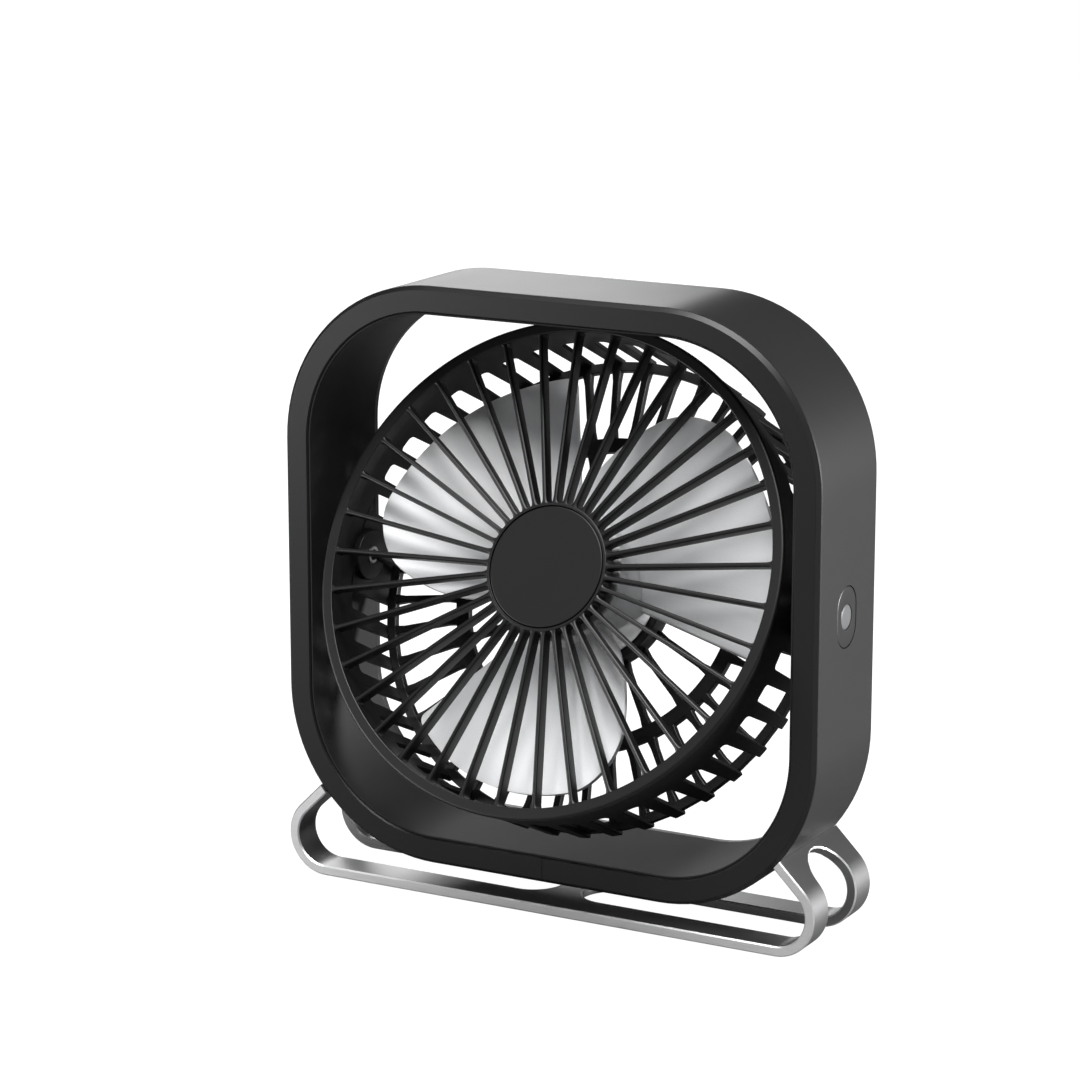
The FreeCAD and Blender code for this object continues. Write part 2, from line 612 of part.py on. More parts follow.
def stop_groove():
    """Curved groove in the left pad. Its ends meet the peg at the lowest and the highest tilt."""
    depth = (PAD_FACE_X - STOP_DEPTH, PAD_FACE_X + 1)
    width = STOP_PEG_R + 0.15
    ring = side_tube(STOP_R + width, STOP_R - width, *depth)
    sweep = TILT_DOWN + TILT_UP
    wedge = Part.makeCylinder(STOP_R + 2, depth[1] - depth[0], Vector(depth[0], 0, 0), X_AXIS, sweep)
    middle = wedge.CenterOfMass
    wanted = 90.0 + (TILT_UP - TILT_DOWN) / 2
    wedge.rotate(PIVOT, X_AXIS, wanted - math.degrees(math.atan2(middle.z, middle.y)))
    arc = ring.common(wedge)
    ends = [math.radians(90.0 - TILT_DOWN), math.radians(90.0 + TILT_UP)]
    rounds = [side_rod(width, *depth, STOP_R * math.cos(a), STOP_R * math.sin(a)) for a in ends]
    return mirrored(arc.multiFuse(rounds))


# ---- fan head ----
def round_nosed_rib(width, inner_r, outer_r, back, front):
    """An upright rib at 90 degrees, with a round front edge."""
    half = width / 2
    corners = [Vector(-half, -front + half, inner_r), Vector(-half, -back, inner_r)]
    corners += [Vector(half, -back, inner_r), Vector(half, -front + half, inner_r)]
    edges = [Part.LineSegment(a, b).toShape() for a, b in zip(corners, corners[1:])]
    edges.append(Part.Arc(corners[3], Vector(0, -front, inner_r), corners[0]).toShape())
    return Part.Face(Part.Wire(edges)).extrude(Vector(0, 0, outer_r - inner_r))


def make_front_grille():
    """Front ring, straight ribs and a hub that takes the cap. A spigot behind the ring fits in the cage."""
    flange_back = GRILLE_FACE - GRILLE_FLANGE
    ring_back = GRILLE_FACE - GRILLE_RING_DEPTH
    groove_back = flange_back - PARTING_GROOVE
    flange = tube(GRILLE_R, GRILLE_OPEN_R, flange_back, GRILLE_FACE)
    on_front = outer_edges(flange, lambda p: abs(p.y + GRILLE_FACE) < 0.01)
    rim = [e for e in on_front if e.Curve.Radius > GRILLE_OPEN_R + 1]
    flange = flange.makeChamfer(CAGE_WALL / 4, rim)
    neck = tube(CAGE_R - CAGE_LIP, GRILLE_OPEN_R, groove_back, flange_back)
    spigot = tube(CAGE_R - CAGE_LIP - FIT_GAP, GRILLE_OPEN_R, ring_back, groove_back)
    hub_back = GRILLE_FACE - HUB_DEPTH
    hub = rod(HUB_R, hub_back, GRILLE_FACE)
    hub = hub.cut(rod(HUB_R - HUB_WALL, hub_back - 1, GRILLE_FACE - CAP_THICK - HUB_FLOOR))
    hub = hub.cut(rod(HUB_R - HUB_WALL + CAP_GROOVE, GRILLE_FACE - CAP_THICK, GRILLE_FACE + 1))
    rib_front = GRILLE_FACE - 0.1
    rib_ends = (HUB_R - HUB_WALL / 2, GRILLE_OPEN_R + 0.6)
    rib = round_nosed_rib(RIB_WIDTH, *rib_ends, rib_front - RIB_DEPTH, rib_front)
    ribs = around(rib, GRILLE_RIBS, -90.0)
    return tilted(flange.multiFuse([neck, spigot, hub] + ribs))


def make_hub_cap():
    """Plain disc let into the front hub."""
    cap = rod(HUB_R - HUB_WALL, GRILLE_FACE - CAP_THICK, GRILLE_FACE)
    return tilted(cap)


def side_window():
    """The space between two struts at 90 degrees, wider at the back, with round front corners."""
    front = WINDOW_FRONT
    back = -CAGE_BACK - 1
    low = CAGE_R - CAGE_WALL - 2
    outline = [(-WINDOW_BACK_WIDTH, back), (WINDOW_BACK_WIDTH, back)]
    outline += [(WINDOW_FRONT_WIDTH, front), (-WINDOW_FRONT_WIDTH, front)]
    corners = [Vector(width / 2, -ahead, low) for width, ahead in outline + outline[:1]]
    prism = Part.Face(Part.makePolygon(corners)).extrude(Vector(0, 0, CAGE_WALL + 5))
    front_corners = outer_edges(prism, lambda p: abs(p.y + front) < 0.01)
    upright = [e for e in front_corners if abs(e.tangentAt(e.FirstParameter).z) > 0.99]
    return prism.makeFillet(WINDOW_CORNER, upright)


def lattice_gaps(outer, inner, ribs):
    """The spaces between evenly spaced ribs in one ring of the rear lattice."""
    ring = tube(outer, inner, -CAGE_BACK - 1, -CAGE_BACK + LATTICE_THICK + 1)
    depth = (CAGE_BACK - LATTICE_THICK - 2, CAGE_BACK + 2)
    rib = box((-LATTICE_RIB / 2, LATTICE_RIB / 2), depth, (inner - 2, outer + 2))
    return ring.cut(around(rib, ribs, -90.0))


def pivot_pad():
    """Boss on the right side of the cage that holds the pivot pin."""
    return side_rod(PIVOT_PAD_R, CAGE_R - PIVOT_PAD_INSIDE, PAD_FACE_X)


def make_rear_cage():
    """Band, side struts and rear lattice in one piece, with the pivot pads and the motor's seat."""
    lattice_front = -CAGE_BACK + LATTICE_THICK
    band_front = GRILLE_FACE - GRILLE_FLANGE - PARTING_GROOVE
    band = tube(CAGE_R, CAGE_R - CAGE_WALL, WINDOW_FRONT - WINDOW_CORNER, band_front)
    struts = tube(STRUT_R, CAGE_R - CAGE_WALL, -CAGE_BACK, WINDOW_FRONT)
    windows = around(side_window(), CAGE_STRUTS, -90.0 + STRUT_PITCH / 2)
    windows = [window for i, window in enumerate(windows) if not at_pivot(i)]
    seat = rod(CAGE_R - CAGE_LIP, GRILLE_FACE - GRILLE_RING_DEPTH - FIT_GAP, GRILLE_FACE)
    walls = band.fuse(struts).cut(windows).cut(seat)
    plate = polygon_prism(LATTICE_EDGE_R, CAGE_STRUTS, -CAGE_BACK, lattice_front)
    edge_inner = LATTICE_EDGE_R - LATTICE_EDGE_WIDTH
    mid_inner = LATTICE_MID_R - LATTICE_MID_WIDTH
    plate = plate.cut(lattice_gaps(edge_inner, LATTICE_MID_R, CAGE_STRUTS))
    plate = plate.cut(lattice_gaps(mid_inner, REAR_HUB_R, CAGE_STRUTS // 2))
    hub = rod(REAR_HUB_R, -CAGE_BACK, REAR_HUB_FRONT)
    pads = [pivot_pad(), mirrored(pivot_pad())]
    cage = walls.multiFuse([plate, hub] + pads)
    floor_back = REAR_HUB_FRONT - REAR_HUB_FLOOR
    through_floor = (floor_back - 1, REAR_HUB_FRONT + 1)
    cage = cage.cut(rod(REAR_HUB_R - REAR_HUB_WALL, -CAGE_BACK - 1, floor_back))
    pin_hole = side_rod(PIN_R, CAGE_R - PIVOT_PAD_INSIDE - 1, PAD_FACE_X + 1)
    holes = [pin_hole, mirrored(pin_hole), stop_groove()]
    holes.append(rod(BEARING_R + TUBE_WALL + FIT_GAP, *through_floor))
    holes += motor_screw_rods(MOTOR_SCREW_R + FIT_GAP, *through_floor)
    lead_way = (-REAR_HUB_R - 1, 2 - REAR_HUB_R + REAR_HUB_WALL)
    holes.append(side_rod(LEAD_R + LEAD_HOLE_GAP, *lead_way, LEAD_BACK, 0))
    holes.append(lead_hole(*through_floor))
    return tilted(cage.cut(holes).removeSplitter())


def at_pivot(index):
    """Whether a window would fall beside one of the two pivots."""
    angle = -90.0 + STRUT_PITCH * (index + 0.5)
    off_axis = abs((angle + 90.0) % 180.0 - 90.0)
    return off_axis < STRUT_PITCH


def make_motor_cover():
    """Round cover that closes the motor's seat from behind, with a shallow dish."""
    radius = REAR_HUB_R - REAR_HUB_WALL - FIT_GAP
    cover = rod(radius, -CAGE_BACK, -CAGE_BACK + COVER_THICK)
    dish = rod(radius - COVER_RIM, -CAGE_BACK - 1, -CAGE_BACK + COVER_DISH)
    skirt = tube(radius, radius - 1, -CAGE_BACK + COVER_THICK, -CAGE_BACK + COVER_THICK + 1)
    return tilted(cover.cut(dish).fuse(skirt).removeSplitter())


# ---- motor ----
def motor_screw_rods(radius, back, front):
    rods = []
    for turn in MOTOR_SCREW_TURNS:
        x = MOTOR_SCREW_CIRCLE * math.cos(math.radians(turn))
        z = MOTOR_SCREW_CIRCLE * math.sin(math.radians(turn))
        rods.append(Part.makeCylinder(radius, front - back, Vector(x, -front, z), Y_AXIS))
    return rods


def lead_hole(back, front):
    return Part.makeCylinder(LEAD_R + LEAD_HOLE_GAP, front - back, Vector(LEAD_HOLE_X, -front, 0), Y_AXIS)


def make_motor_base():
    """Flange on the cage's floor with the tube that holds the bearings."""
    flange_front = REAR_HUB_FRONT + BASE_THICK
    flange = rod(BASE_R, REAR_HUB_FRONT, flange_front)
    neck = rod(BEARING_R + TUBE_WALL, REAR_HUB_FRONT, TUBE_FRONT)
    base = flange.fuse(neck).cut(rod(BEARING_R - 1.2, REAR_HUB_FRONT - 1, TUBE_FRONT + 1))
    base = base.cut([bearing_seat(TUBE_FRONT - BEARING_LENGTH, 1), bearing_seat(REAR_BEARING_BACK, -1)])
    base = base.cut(motor_screw_rods(MOTOR_SCREW_R, REAR_HUB_FRONT - 1, flange_front + 1))
    return tilted(base.cut(lead_hole(REAR_HUB_FRONT - 1, flange_front + 1)).removeSplitter())


def bearing_seat(back, opens):
    """Counterbore for one bearing, open at the front or at the back of the tube."""
    if opens > 0:
        return rod(BEARING_R, back, back + BEARING_LENGTH + 1)
    return rod(BEARING_R, REAR_HUB_FRONT - 1, back + BEARING_LENGTH)


def make_bearing(back):
    return tilted(tube(BEARING_R, SHAFT_R + SHAFT_RUNNING_GAP, back, back + BEARING_LENGTH))


def make_motor_screws():
    floor_back = REAR_HUB_FRONT - REAR_HUB_FLOOR
    heads = motor_screw_rods(MOTOR_SCREW_HEAD_R, floor_back - MOTOR_SCREW_HEAD, floor_back)
    shanks = motor_screw_rods(MOTOR_SCREW_R, floor_back, REAR_HUB_FRONT + BASE_THICK)
    return tilted(Part.makeCompound([h.fuse(s).removeSplitter() for h, s in zip(heads, shanks)]))


def make_motor_board():
    back = REAR_HUB_FRONT + BASE_THICK + MOTOR_BOARD_STANDOFF
    return tilted(tube(MOTOR_BOARD_R, BEARING_R + TUBE_WALL + FIT_GAP, back, back + BOARD_THICK))


def make_stator_core():
    """Laminated core: a ring on the bearing tube and teeth that end in wide shoes."""
    inner = BEARING_R + TUBE_WALL + FIT_GAP
    ring = tube(inner + 1.6, inner, STATOR_BACK, STATOR_FRONT)
    tooth_reach = (inner + 1, STATOR_R - SHOE_THICK / 2)
    tooth = box((-TOOTH_WIDTH / 2, TOOTH_WIDTH / 2), (-STATOR_FRONT, -STATOR_BACK), tooth_reach)
    shoe_ring = tube(STATOR_R, STATOR_R - SHOE_THICK, STATOR_BACK, STATOR_FRONT)
    gap_depth = (-STATOR_FRONT - 1, 1 - STATOR_BACK)
    gap = box((-SHOE_GAP / 2, SHOE_GAP / 2), gap_depth, (STATOR_R - 3, STATOR_R + 1))
    shoes = shoe_ring.cut(around(gap, STATOR_TEETH, 90.0 + 180.0 / STATOR_TEETH))
    return tilted(ring.multiFuse(around(tooth, STATOR_TEETH) + [shoes]).removeSplitter())


def make_stator_coils():
    """One winding round each tooth."""
    inner = BEARING_R + TUBE_WALL + 2.4
    outer = STATOR_R - SHOE_THICK - 0.4
    half_outer = TOOTH_WIDTH / 2 + 1.0
    half_inner = TOOTH_WIDTH / 2 + FIT_GAP
    winding_depth = (-STATOR_FRONT - WINDING_THICK, WINDING_THICK - STATOR_BACK)
    winding = box((-half_outer, half_outer), winding_depth, (inner, outer))
    hole_depth = (-STATOR_FRONT - FIT_GAP, FIT_GAP - STATOR_BACK)
    hole = box((-half_inner, half_inner), hole_depth, (inner - 1, outer + 1))
    return tilted(Part.makeCompound(around(winding.cut(hole), STATOR_TEETH)))


# ---- rotor ----
def make_rotor_shaft():
    """Steel shaft with a groove for its clip."""
    shaft = rod(SHAFT_R, SHAFT_BACK, IMPELLER_FRONT - IMPELLER_FACE / 2)
    return tilted(shaft.cut(tube(SHAFT_R + 1, SHAFT_R - SHAFT_GROOVE, *SHAFT_CLIP_SPAN)))


def make_shaft_clip():
    ring = tube(SHAFT_R + 1.0, SHAFT_R - SHAFT_GROOVE, *SHAFT_CLIP_SPAN)
    mouth = box((-0.8, 0.8), (-SHAFT_CLIP_SPAN[1] - 1, 1 - SHAFT_CLIP_SPAN[0]), (0, SHAFT_R + 2))
    return tilted(ring.cut(mouth))


def make_thrust_washer():
    """Slippery washer between the clip and the rear bearing."""
    front = REAR_BEARING_BACK - 0.05
    return tilted(tube(SHAFT_R + 1.3, SHAFT_R, SHAFT_CLIP_SPAN[1], front))


def make_rotor_yoke():
    """Steel cup inside the impeller's hub that carries the magnets."""
    radius = MAGNET_R + YOKE_WALL
    front = IMPELLER_FRONT - IMPELLER_FACE - 0.4
    cup = rod(radius, STATOR_BACK - 4, front).cut(rod(MAGNET_R, STATOR_BACK - 5, front - YOKE_WALL))
    return tilted(cup.cut(rod(BOSS_R + FIT_GAP, front - 3, front + 1)))


def make_magnet_ring():
    return tilted(tube(MAGNET_R, MAGNET_R - MAGNET_WALL, STATOR_BACK - 2, STATOR_FRONT + 2))


def polar(radius, degrees, ahead=0.0):
    turn = math.radians(degrees)
    return Vector(radius * math.cos(turn), -ahead, radius * math.sin(turn))


def blade_end(radius):
    """Angle of the trailing edge, which swings back towards the hub."""
    share = (BLADE_R - radius) / (BLADE_R - IMPELLER_HUB_R)
    return BLADE_START + BLADE_SPAN + BLADE_SWEEP * share


def blade_surface():
    """Back of a blade: it rises evenly from the leading to the trailing edge, with a slight arch."""
    margin = 4.0
    grid = []
    inner = IMPELLER_HUB_R - IMPELLER_HUB_WALL
    for i in range(5):
        radius = inner + (BLADE_R + 1 - inner) * i / 4
        first = BLADE_START - margin
        last = blade_end(radius) + margin
        row = []
        for j in range(13):
            angle = first + (last - first) * j / 12
            along = (angle - BLADE_START) / (blade_end(radius) - BLADE_START)
            ahead = BLADE_RISE * (along - 0.5) + BLADE_CAMBER * 4 * along * (1 - along)
            row.append(polar(radius, angle, ahead))
        grid.append(row)
    surface = Part.BSplineSurface()
    surface.interpolate(grid)
    return surface.toShape()


def blade_outline():
    """Prism of the blade's outline seen from the front, with rounded outer corners."""
    inner = IMPELLER_HUB_R - IMPELLER_HUB_WALL / 2
    middle_r = (inner + BLADE_R) / 2
    reach = BLADE_RISE + 10
    leading = [polar(inner, BLADE_START, reach / 2), polar(BLADE_R, BLADE_START, reach / 2)]
    end = BLADE_START + BLADE_SPAN
    tip_middle = polar(BLADE_R, BLADE_START + BLADE_SPAN / 2, reach / 2)
    trailing = [polar(r, blade_end(r), reach / 2) for r in (BLADE_R, middle_r, inner)]
    hub_middle = polar(inner, (BLADE_START + blade_end(inner)) / 2, reach / 2)
    edges = [Part.LineSegment(*leading).toShape()]
    edges.append(Part.Arc(leading[1], tip_middle, trailing[0]).toShape())
    edges.append(Part.Arc(*trailing).toShape())
    edges.append(Part.Arc(trailing[2], hub_middle, leading[0]).toShape())
    prism = Part.Face(Part.Wire(edges)).extrude(Vector(0, reach, 0))
    corner_rounds = {BLADE_START: BLADE_LEADING_ROUND, end: BLADE_TRAILING_ROUND}
    for degrees, radius in corner_rounds.items():
        corner = polar(BLADE_R, degrees)
        upright = outer_edges(prism, lambda p: math.hypot(p.x - corner.x, p.z - corner.z) < 0.01)
        prism = prism.makeFillet(radius, upright)
    return prism


def make_impeller():
    """Hub and three wide swept blades in one moulding."""
    hub = rod(IMPELLER_HUB_R, IMPELLER_BACK, IMPELLER_FRONT)
    inside = IMPELLER_HUB_R - IMPELLER_HUB_WALL
    hub = hub.cut(rod(inside, IMPELLER_BACK - 1, IMPELLER_FRONT - IMPELLER_FACE))
    boss = rod(BOSS_R, TUBE_FRONT + 0.6, IMPELLER_FRONT - IMPELLER_FACE / 4)
    blade = blade_surface().extrude(Vector(0, -BLADE_THICK, 0)).common(blade_outline())
    impeller = hub.multiFuse([boss] + around(blade, BLADES))
    return tilted(impeller.cut(rod(SHAFT_R, TUBE_FRONT, IMPELLER_FRONT - IMPELLER_FACE / 2)))


# ---- power button ----
def make_power_button():
    """Cap flush with the frame, with a flange inside that keeps it in."""
    cap = stadium(BUTTON_HALF_WIDTH - BUTTON_GAP, BUTTON_STRAIGHT, FLANGE_SPAN[0], HALF)
    flange = stadium(BUTTON_HALF_WIDTH + BUTTON_FLANGE, BUTTON_STRAIGHT, *FLANGE_SPAN)
    button = cap.fuse(flange).cut(side_rod(LENS_R, FLANGE_SPAN[0] - 1, HALF + 1))
    return lifted(button.removeSplitter())


def make_button_lens():
    return lifted(side_rod(LENS_R, FLANGE_SPAN[1], HALF))


def make_tact_switch():
    """Small push switch on the board, under the lower end of the button."""
    depth = (BOARD_FACE_X, BOARD_FACE_X + SWITCH_HEIGHT)
    upright = (-SWITCH_DROP - SWITCH_HALF, SWITCH_HALF - SWITCH_DROP)
    body = box(depth, (-SWITCH_HALF, SWITCH_HALF), upright)
    return lifted(body.cut(side_rod(PLUNGER_R + FIT_GAP, BOARD_FACE_X, BOARD_X + 3, 0, -SWITCH_DROP)))


def make_switch_plunger():
    start = BOARD_FACE_X + BUTTON_TRAVEL + 0.05
    return lifted(side_rod(PLUNGER_R, start, FLANGE_SPAN[0], 0, -SWITCH_DROP))


def make_power_led():
    return lifted(box((BOARD_FACE_X, BOARD_FACE_X + 0.7), (-1.0, 1.0), (-0.6, 0.6)))


# ---- boards and leads ----
def board_screw_rods(radius, start_x, end_x):
    """One rod at each screw, in two opposite corners of the board."""
    y = BOARD_WIDTH / 2 - BOARD_SCREW_INSET
    z = BOARD_HEIGHT / 2 - BOARD_SCREW_INSET
    return [side_rod(radius, start_x, end_x, s * y, s * z) for s in (-1, 1)]


def make_control_board():
    width = (-BOARD_WIDTH / 2, BOARD_WIDTH / 2)
    board = box((BOARD_X, BOARD_FACE_X), width, (-BOARD_HEIGHT / 2, BOARD_HEIGHT / 2))
    return lifted(board.cut(board_screw_rods(BOARD_SCREW_R + FIT_GAP, BOARD_X - 1, BOARD_X + 2)))


def make_board_parts():
    """Chips, an inductor and capacitors on the board's outer face."""
    chip = on_board(4, 12, 5, 5, 1.0)
    inductor = on_board(-5, 12, 4, 4, 1.6)
    capacitors = [on_board(-5, 17, 3.2, 1.6, 1.2), on_board(9, 4, 1.6, 3.2, 1.0)]
    regulator = on_board(8, -13, 5, 4, 1.0)
    return lifted(Part.makeCompound([chip, inductor, regulator] + capacitors))


def on_board(y, z, width, height, thick):
    """A flat component with its centre at y, z."""
    half_width = width / 2
    half_height = height / 2
    depth = (BOARD_FACE_X, BOARD_FACE_X + thick)
    return box(depth, (y - half_width, y + half_width), (z - half_height, z + half_height))


def make_board_screws():
    shanks = board_screw_rods(BOARD_SCREW_R, BOARD_X - BOARD_SCREW_REACH + 0.1, BOARD_FACE_X)
    heads = board_screw_rods(BOARD_SCREW_R + 0.7, BOARD_FACE_X, BOARD_FACE_X + 0.8)
    screws = [shank.fuse(head).removeSplitter() for shank, head in zip(shanks, heads)]
    return lifted(Part.makeCompound(screws))


def inlet_body(half_width, half_height, start_y, end_y):
    """A prism along Y with round sides, at the middle of the frame's lower edge."""
    straight = half_width - half_height
    places = [Vector(s * straight, start_y, INLET_Z) for s in (-1, 1)]
    ends = [Part.makeCylinder(half_height, end_y - start_y, place, Y_AXIS) for place in places]
    middle = box((-straight, straight), (start_y, end_y), (INLET_Z - half_height, INLET_Z + half_height))
    return middle.multiFuse(ends).removeSplitter()


def make_power_inlet():
    """Small low-voltage socket: a metal sleeve with a tongue inside."""
    start = BACK_Y - INLET_LENGTH
    sleeve = inlet_body(INLET_WIDTH / 2, INLET_HEIGHT / 2, start, BACK_Y - INLET_SINK)
    hollow = inlet_body(INLET_WIDTH / 2 - INLET_WALL, INLET_HEIGHT / 2 - INLET_WALL, start + 1, BACK_Y + 1)
    tongue = box((-3.3, 3.3), (start + 0.5, BACK_Y - 1), (INLET_Z - 0.35, INLET_Z + 0.35))
    return lifted(sleeve.cut(hollow).fuse(tongue))


def make_inlet_board():
    top = INLET_Z - INLET_HEIGHT / 2
    depth = (INLET_BOARD_FRONT, BACK_Y - BACK_WALL - INLET_SINK)
    return lifted(box((-7, 7), depth, (top - BOARD_THICK, top)))


def lead_end(y):
    """Route points of a lead that comes up to the lower edge of the control board."""
    x = BOARD_X + BOARD_THICK / 2
    return [(Vector(x, y, LEAD_END_Z - 4), 4.0), (Vector(x, y, LEAD_END_Z), 0)]


def make_frame_lead():
    """Motor lead: from the left pivot down the cavity, along the bottom and up to the control board."""
    pivot_side = CAVITY_HALF - LEAD_R - 0.1
    side = LINER_HALF + LEAD_R + 0.5
    corner_bend = FRAME_CORNER - (HALF - side)
    route = [(Vector(-LEFT_PIN_END - FIT_GAP, 0, 0), 0), (Vector(-pivot_side, 0, 0), 1.2)]
    route += [(Vector(-pivot_side, 0, -12), LEAD_TURN), (Vector(-side, LEAD_LANE_Y, -32), LEAD_TURN)]
    route += [(Vector(s * side, LEAD_LANE_Y, -side), corner_bend) for s in (-1, 1)]
    route.append((Vector(side, LEAD_LANE_Y, LEAD_END_Z - 10), LEAD_TURN))
    return lifted(lead_along(route + lead_end(LEAD_LANE_Y + 6)))


def make_inlet_lead():
    """Supply lead: from the inlet board along the bottom and up to the control board."""
    side = CAVITY_HALF - LEAD_R - 0.2
    corner_bend = FRAME_CORNER - (HALF - side)
    route = [(Vector(3, INLET_BOARD_FRONT - FIT_GAP, -side), 0), (Vector(3, LEAD_LANE_Y, -side), LEAD_TURN)]
    route.append((Vector(side, LEAD_LANE_Y, -side), corner_bend))
    route.append((Vector(side, LEAD_LANE_Y, LEAD_END_Z - 11), LEAD_TURN))
    return lifted(lead_along(route + lead_end(LEAD_LANE_Y + 11)))


def make_motor_lead():
    """From the motor board in front of a lattice rib to the side, and out through the left pivot pin."""
    board = REAR_HUB_FRONT + BASE_THICK + MOTOR_BOARD_STANDOFF
    route = [(Vector(LEAD_HOLE_X, -board + FIT_GAP, 0), 0), (Vector(LEAD_HOLE_X, LEAD_BACK, 0), LEAD_BEND)]
    route += [(Vector(LEAD_SIDE_X, LEAD_BACK, 0), LEAD_BEND), (Vector(LEAD_SIDE_X, 0, 0), LEAD_BEND)]
    route.append((Vector(-LEFT_PIN_END, 0, 0), 0))
    return tilted(lead_along(route))


PARTS = {
    "frame_shell": make_frame_shell,
    "frame_liner": make_frame_liner,
    "front_bezel": make_front_bezel,
    "frame_screws": make_frame_screws,
    "stand": make_stand,
    "stand_clamps": make_stand_clamps,
    "stand_screws": make_stand_screws,
    "foot_pads": make_foot_pads,
    "pivot_bush_left": lambda: make_bush(-1, True),
    "pivot_bush_right": lambda: make_bush(1, False),
    "control_board": make_control_board,
    "board_parts": make_board_parts,
    "board_screws": make_board_screws,
    "tact_switch": make_tact_switch,
    "power_led": make_power_led,
    "power_inlet": make_power_inlet,
    "inlet_board": make_inlet_board,
    "frame_lead": make_frame_lead,
    "inlet_lead": make_inlet_lead,
    "power_button": make_power_button,
    "button_lens": make_button_lens,
    "switch_plunger": make_switch_plunger,
    "front_grille": make_front_grille,
    "hub_cap": make_hub_cap,
    "rear_cage": make_rear_cage,
    "motor_cover": make_motor_cover,
    "motor_base": make_motor_base,
    "motor_screws": make_motor_screws,
    "motor_board": make_motor_board,
    "stator_core": make_stator_core,
    "stator_coils": make_stator_coils,
    "bearing_front": lambda: make_bearing(TUBE_FRONT - BEARING_LENGTH),
    "bearing_rear": lambda: make_bearing(REAR_BEARING_BACK),
    "pivot_pin_left": lambda: make_pivot_pin(-1, LEFT_PIN_END),
    "pivot_pin_right": lambda: make_pivot_pin(1, RIGHT_PIN_END),
    "pin_clip": make_pin_clip,
    "friction_discs": make_friction_discs,
    "wave_washers": make_wave_washers,
    "motor_lead": make_motor_lead,
    "impeller": make_impeller,
    "rotor_shaft": make_rotor_shaft,
    "shaft_clip": make_shaft_clip,
    "thrust_washer": make_thrust_washer,
    "rotor_yoke": make_rotor_yoke,
    "magnet_ring": make_magnet_ring,
}


def main():
    os.makedirs("parts", exist_ok=True)
    for node, make in PARTS.items():
        shape = make()
        shape.exportStep("parts/" + node + ".step")
        print(node, "solids", len(shape.Solids), "volume", round(shape.Volume, 1), "valid", shape.isValid())


main()
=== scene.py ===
"""Desk fan: the surfaces that show, their finishes, and the stage they are seen on.

Laid out as an add-on and run as a script. Lengths are in metres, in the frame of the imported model: +Z is
up, the fan blows towards -Y and the origin is on the desk. The head's pieces are worked out level, where a
point has a radius and an angle about the fan's axis and a distance ahead of the pivot, and are then tilted.
"""
import json
import math

import bmesh
import bpy
import numpy as np
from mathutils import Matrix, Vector


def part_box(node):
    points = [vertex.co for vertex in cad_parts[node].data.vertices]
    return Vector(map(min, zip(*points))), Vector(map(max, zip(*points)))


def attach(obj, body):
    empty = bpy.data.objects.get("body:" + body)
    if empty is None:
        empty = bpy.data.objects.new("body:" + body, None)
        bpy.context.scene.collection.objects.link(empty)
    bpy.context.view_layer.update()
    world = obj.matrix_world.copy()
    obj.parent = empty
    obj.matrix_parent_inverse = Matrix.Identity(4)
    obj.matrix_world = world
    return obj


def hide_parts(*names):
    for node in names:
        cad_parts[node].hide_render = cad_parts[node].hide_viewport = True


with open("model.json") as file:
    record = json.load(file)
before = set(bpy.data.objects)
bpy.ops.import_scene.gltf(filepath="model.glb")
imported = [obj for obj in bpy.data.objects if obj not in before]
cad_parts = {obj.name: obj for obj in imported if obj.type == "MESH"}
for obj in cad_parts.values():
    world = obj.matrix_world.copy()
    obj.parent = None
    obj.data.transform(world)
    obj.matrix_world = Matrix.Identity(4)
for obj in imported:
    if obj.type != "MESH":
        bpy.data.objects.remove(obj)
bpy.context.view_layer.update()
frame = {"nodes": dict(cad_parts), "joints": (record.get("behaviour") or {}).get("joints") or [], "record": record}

bl_info = {
    "name": "Desk Fan",
    "version": (1, 0, 0),
    "blender": (4, 5, 0),
    "location": "3D View > Sidebar > Desk Fan",
    "description": "Builds the surfaces and finishes of a tilting desk fan, piece by piece",
    "category": "Add Mesh",
}

MM = 0.001
TAU = 2 * math.pi
SHELL_LOW, SHELL_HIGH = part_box("frame_shell")
STAND_LOW, STAND_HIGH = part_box("stand")
BEZEL_LOW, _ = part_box("front_bezel")
JOINTS = {joint["name"]: joint for joint in frame["joints"]}
CENTRE_HEIGHT = JOINTS["head_tilt"]["pos_m"][2]
SPIN_AXIS = JOINTS["impeller_spin"]["axis"]
REST_TILT = math.atan2(SPIN_AXIS[2], -SPIN_AXIS[1])


# ---- settings ----
def length(name, description, default):
    return bpy.props.FloatProperty(
        name=name, description=description, default=default,
        min=0.0, unit="LENGTH", subtype="DISTANCE", precision=5,
    )


def angle(name, description, default):
    return bpy.props.FloatProperty(
        name=name, description=description, default=default, unit="ROTATION", subtype="ANGLE"
    )


def count(name, description, default):
    return bpy.props.IntProperty(name=name, description=description, default=default, min=1)


def share(name, description, default):
    return bpy.props.FloatProperty(
        name=name, description=description, default=default, min=0.0, max=1.0, subtype="FACTOR"
    )


def colour(name, description, default):
    return bpy.props.FloatVectorProperty(
        name=name, description=description, default=default, size=3, min=0.0, max=1.0, subtype="COLOR"
    )


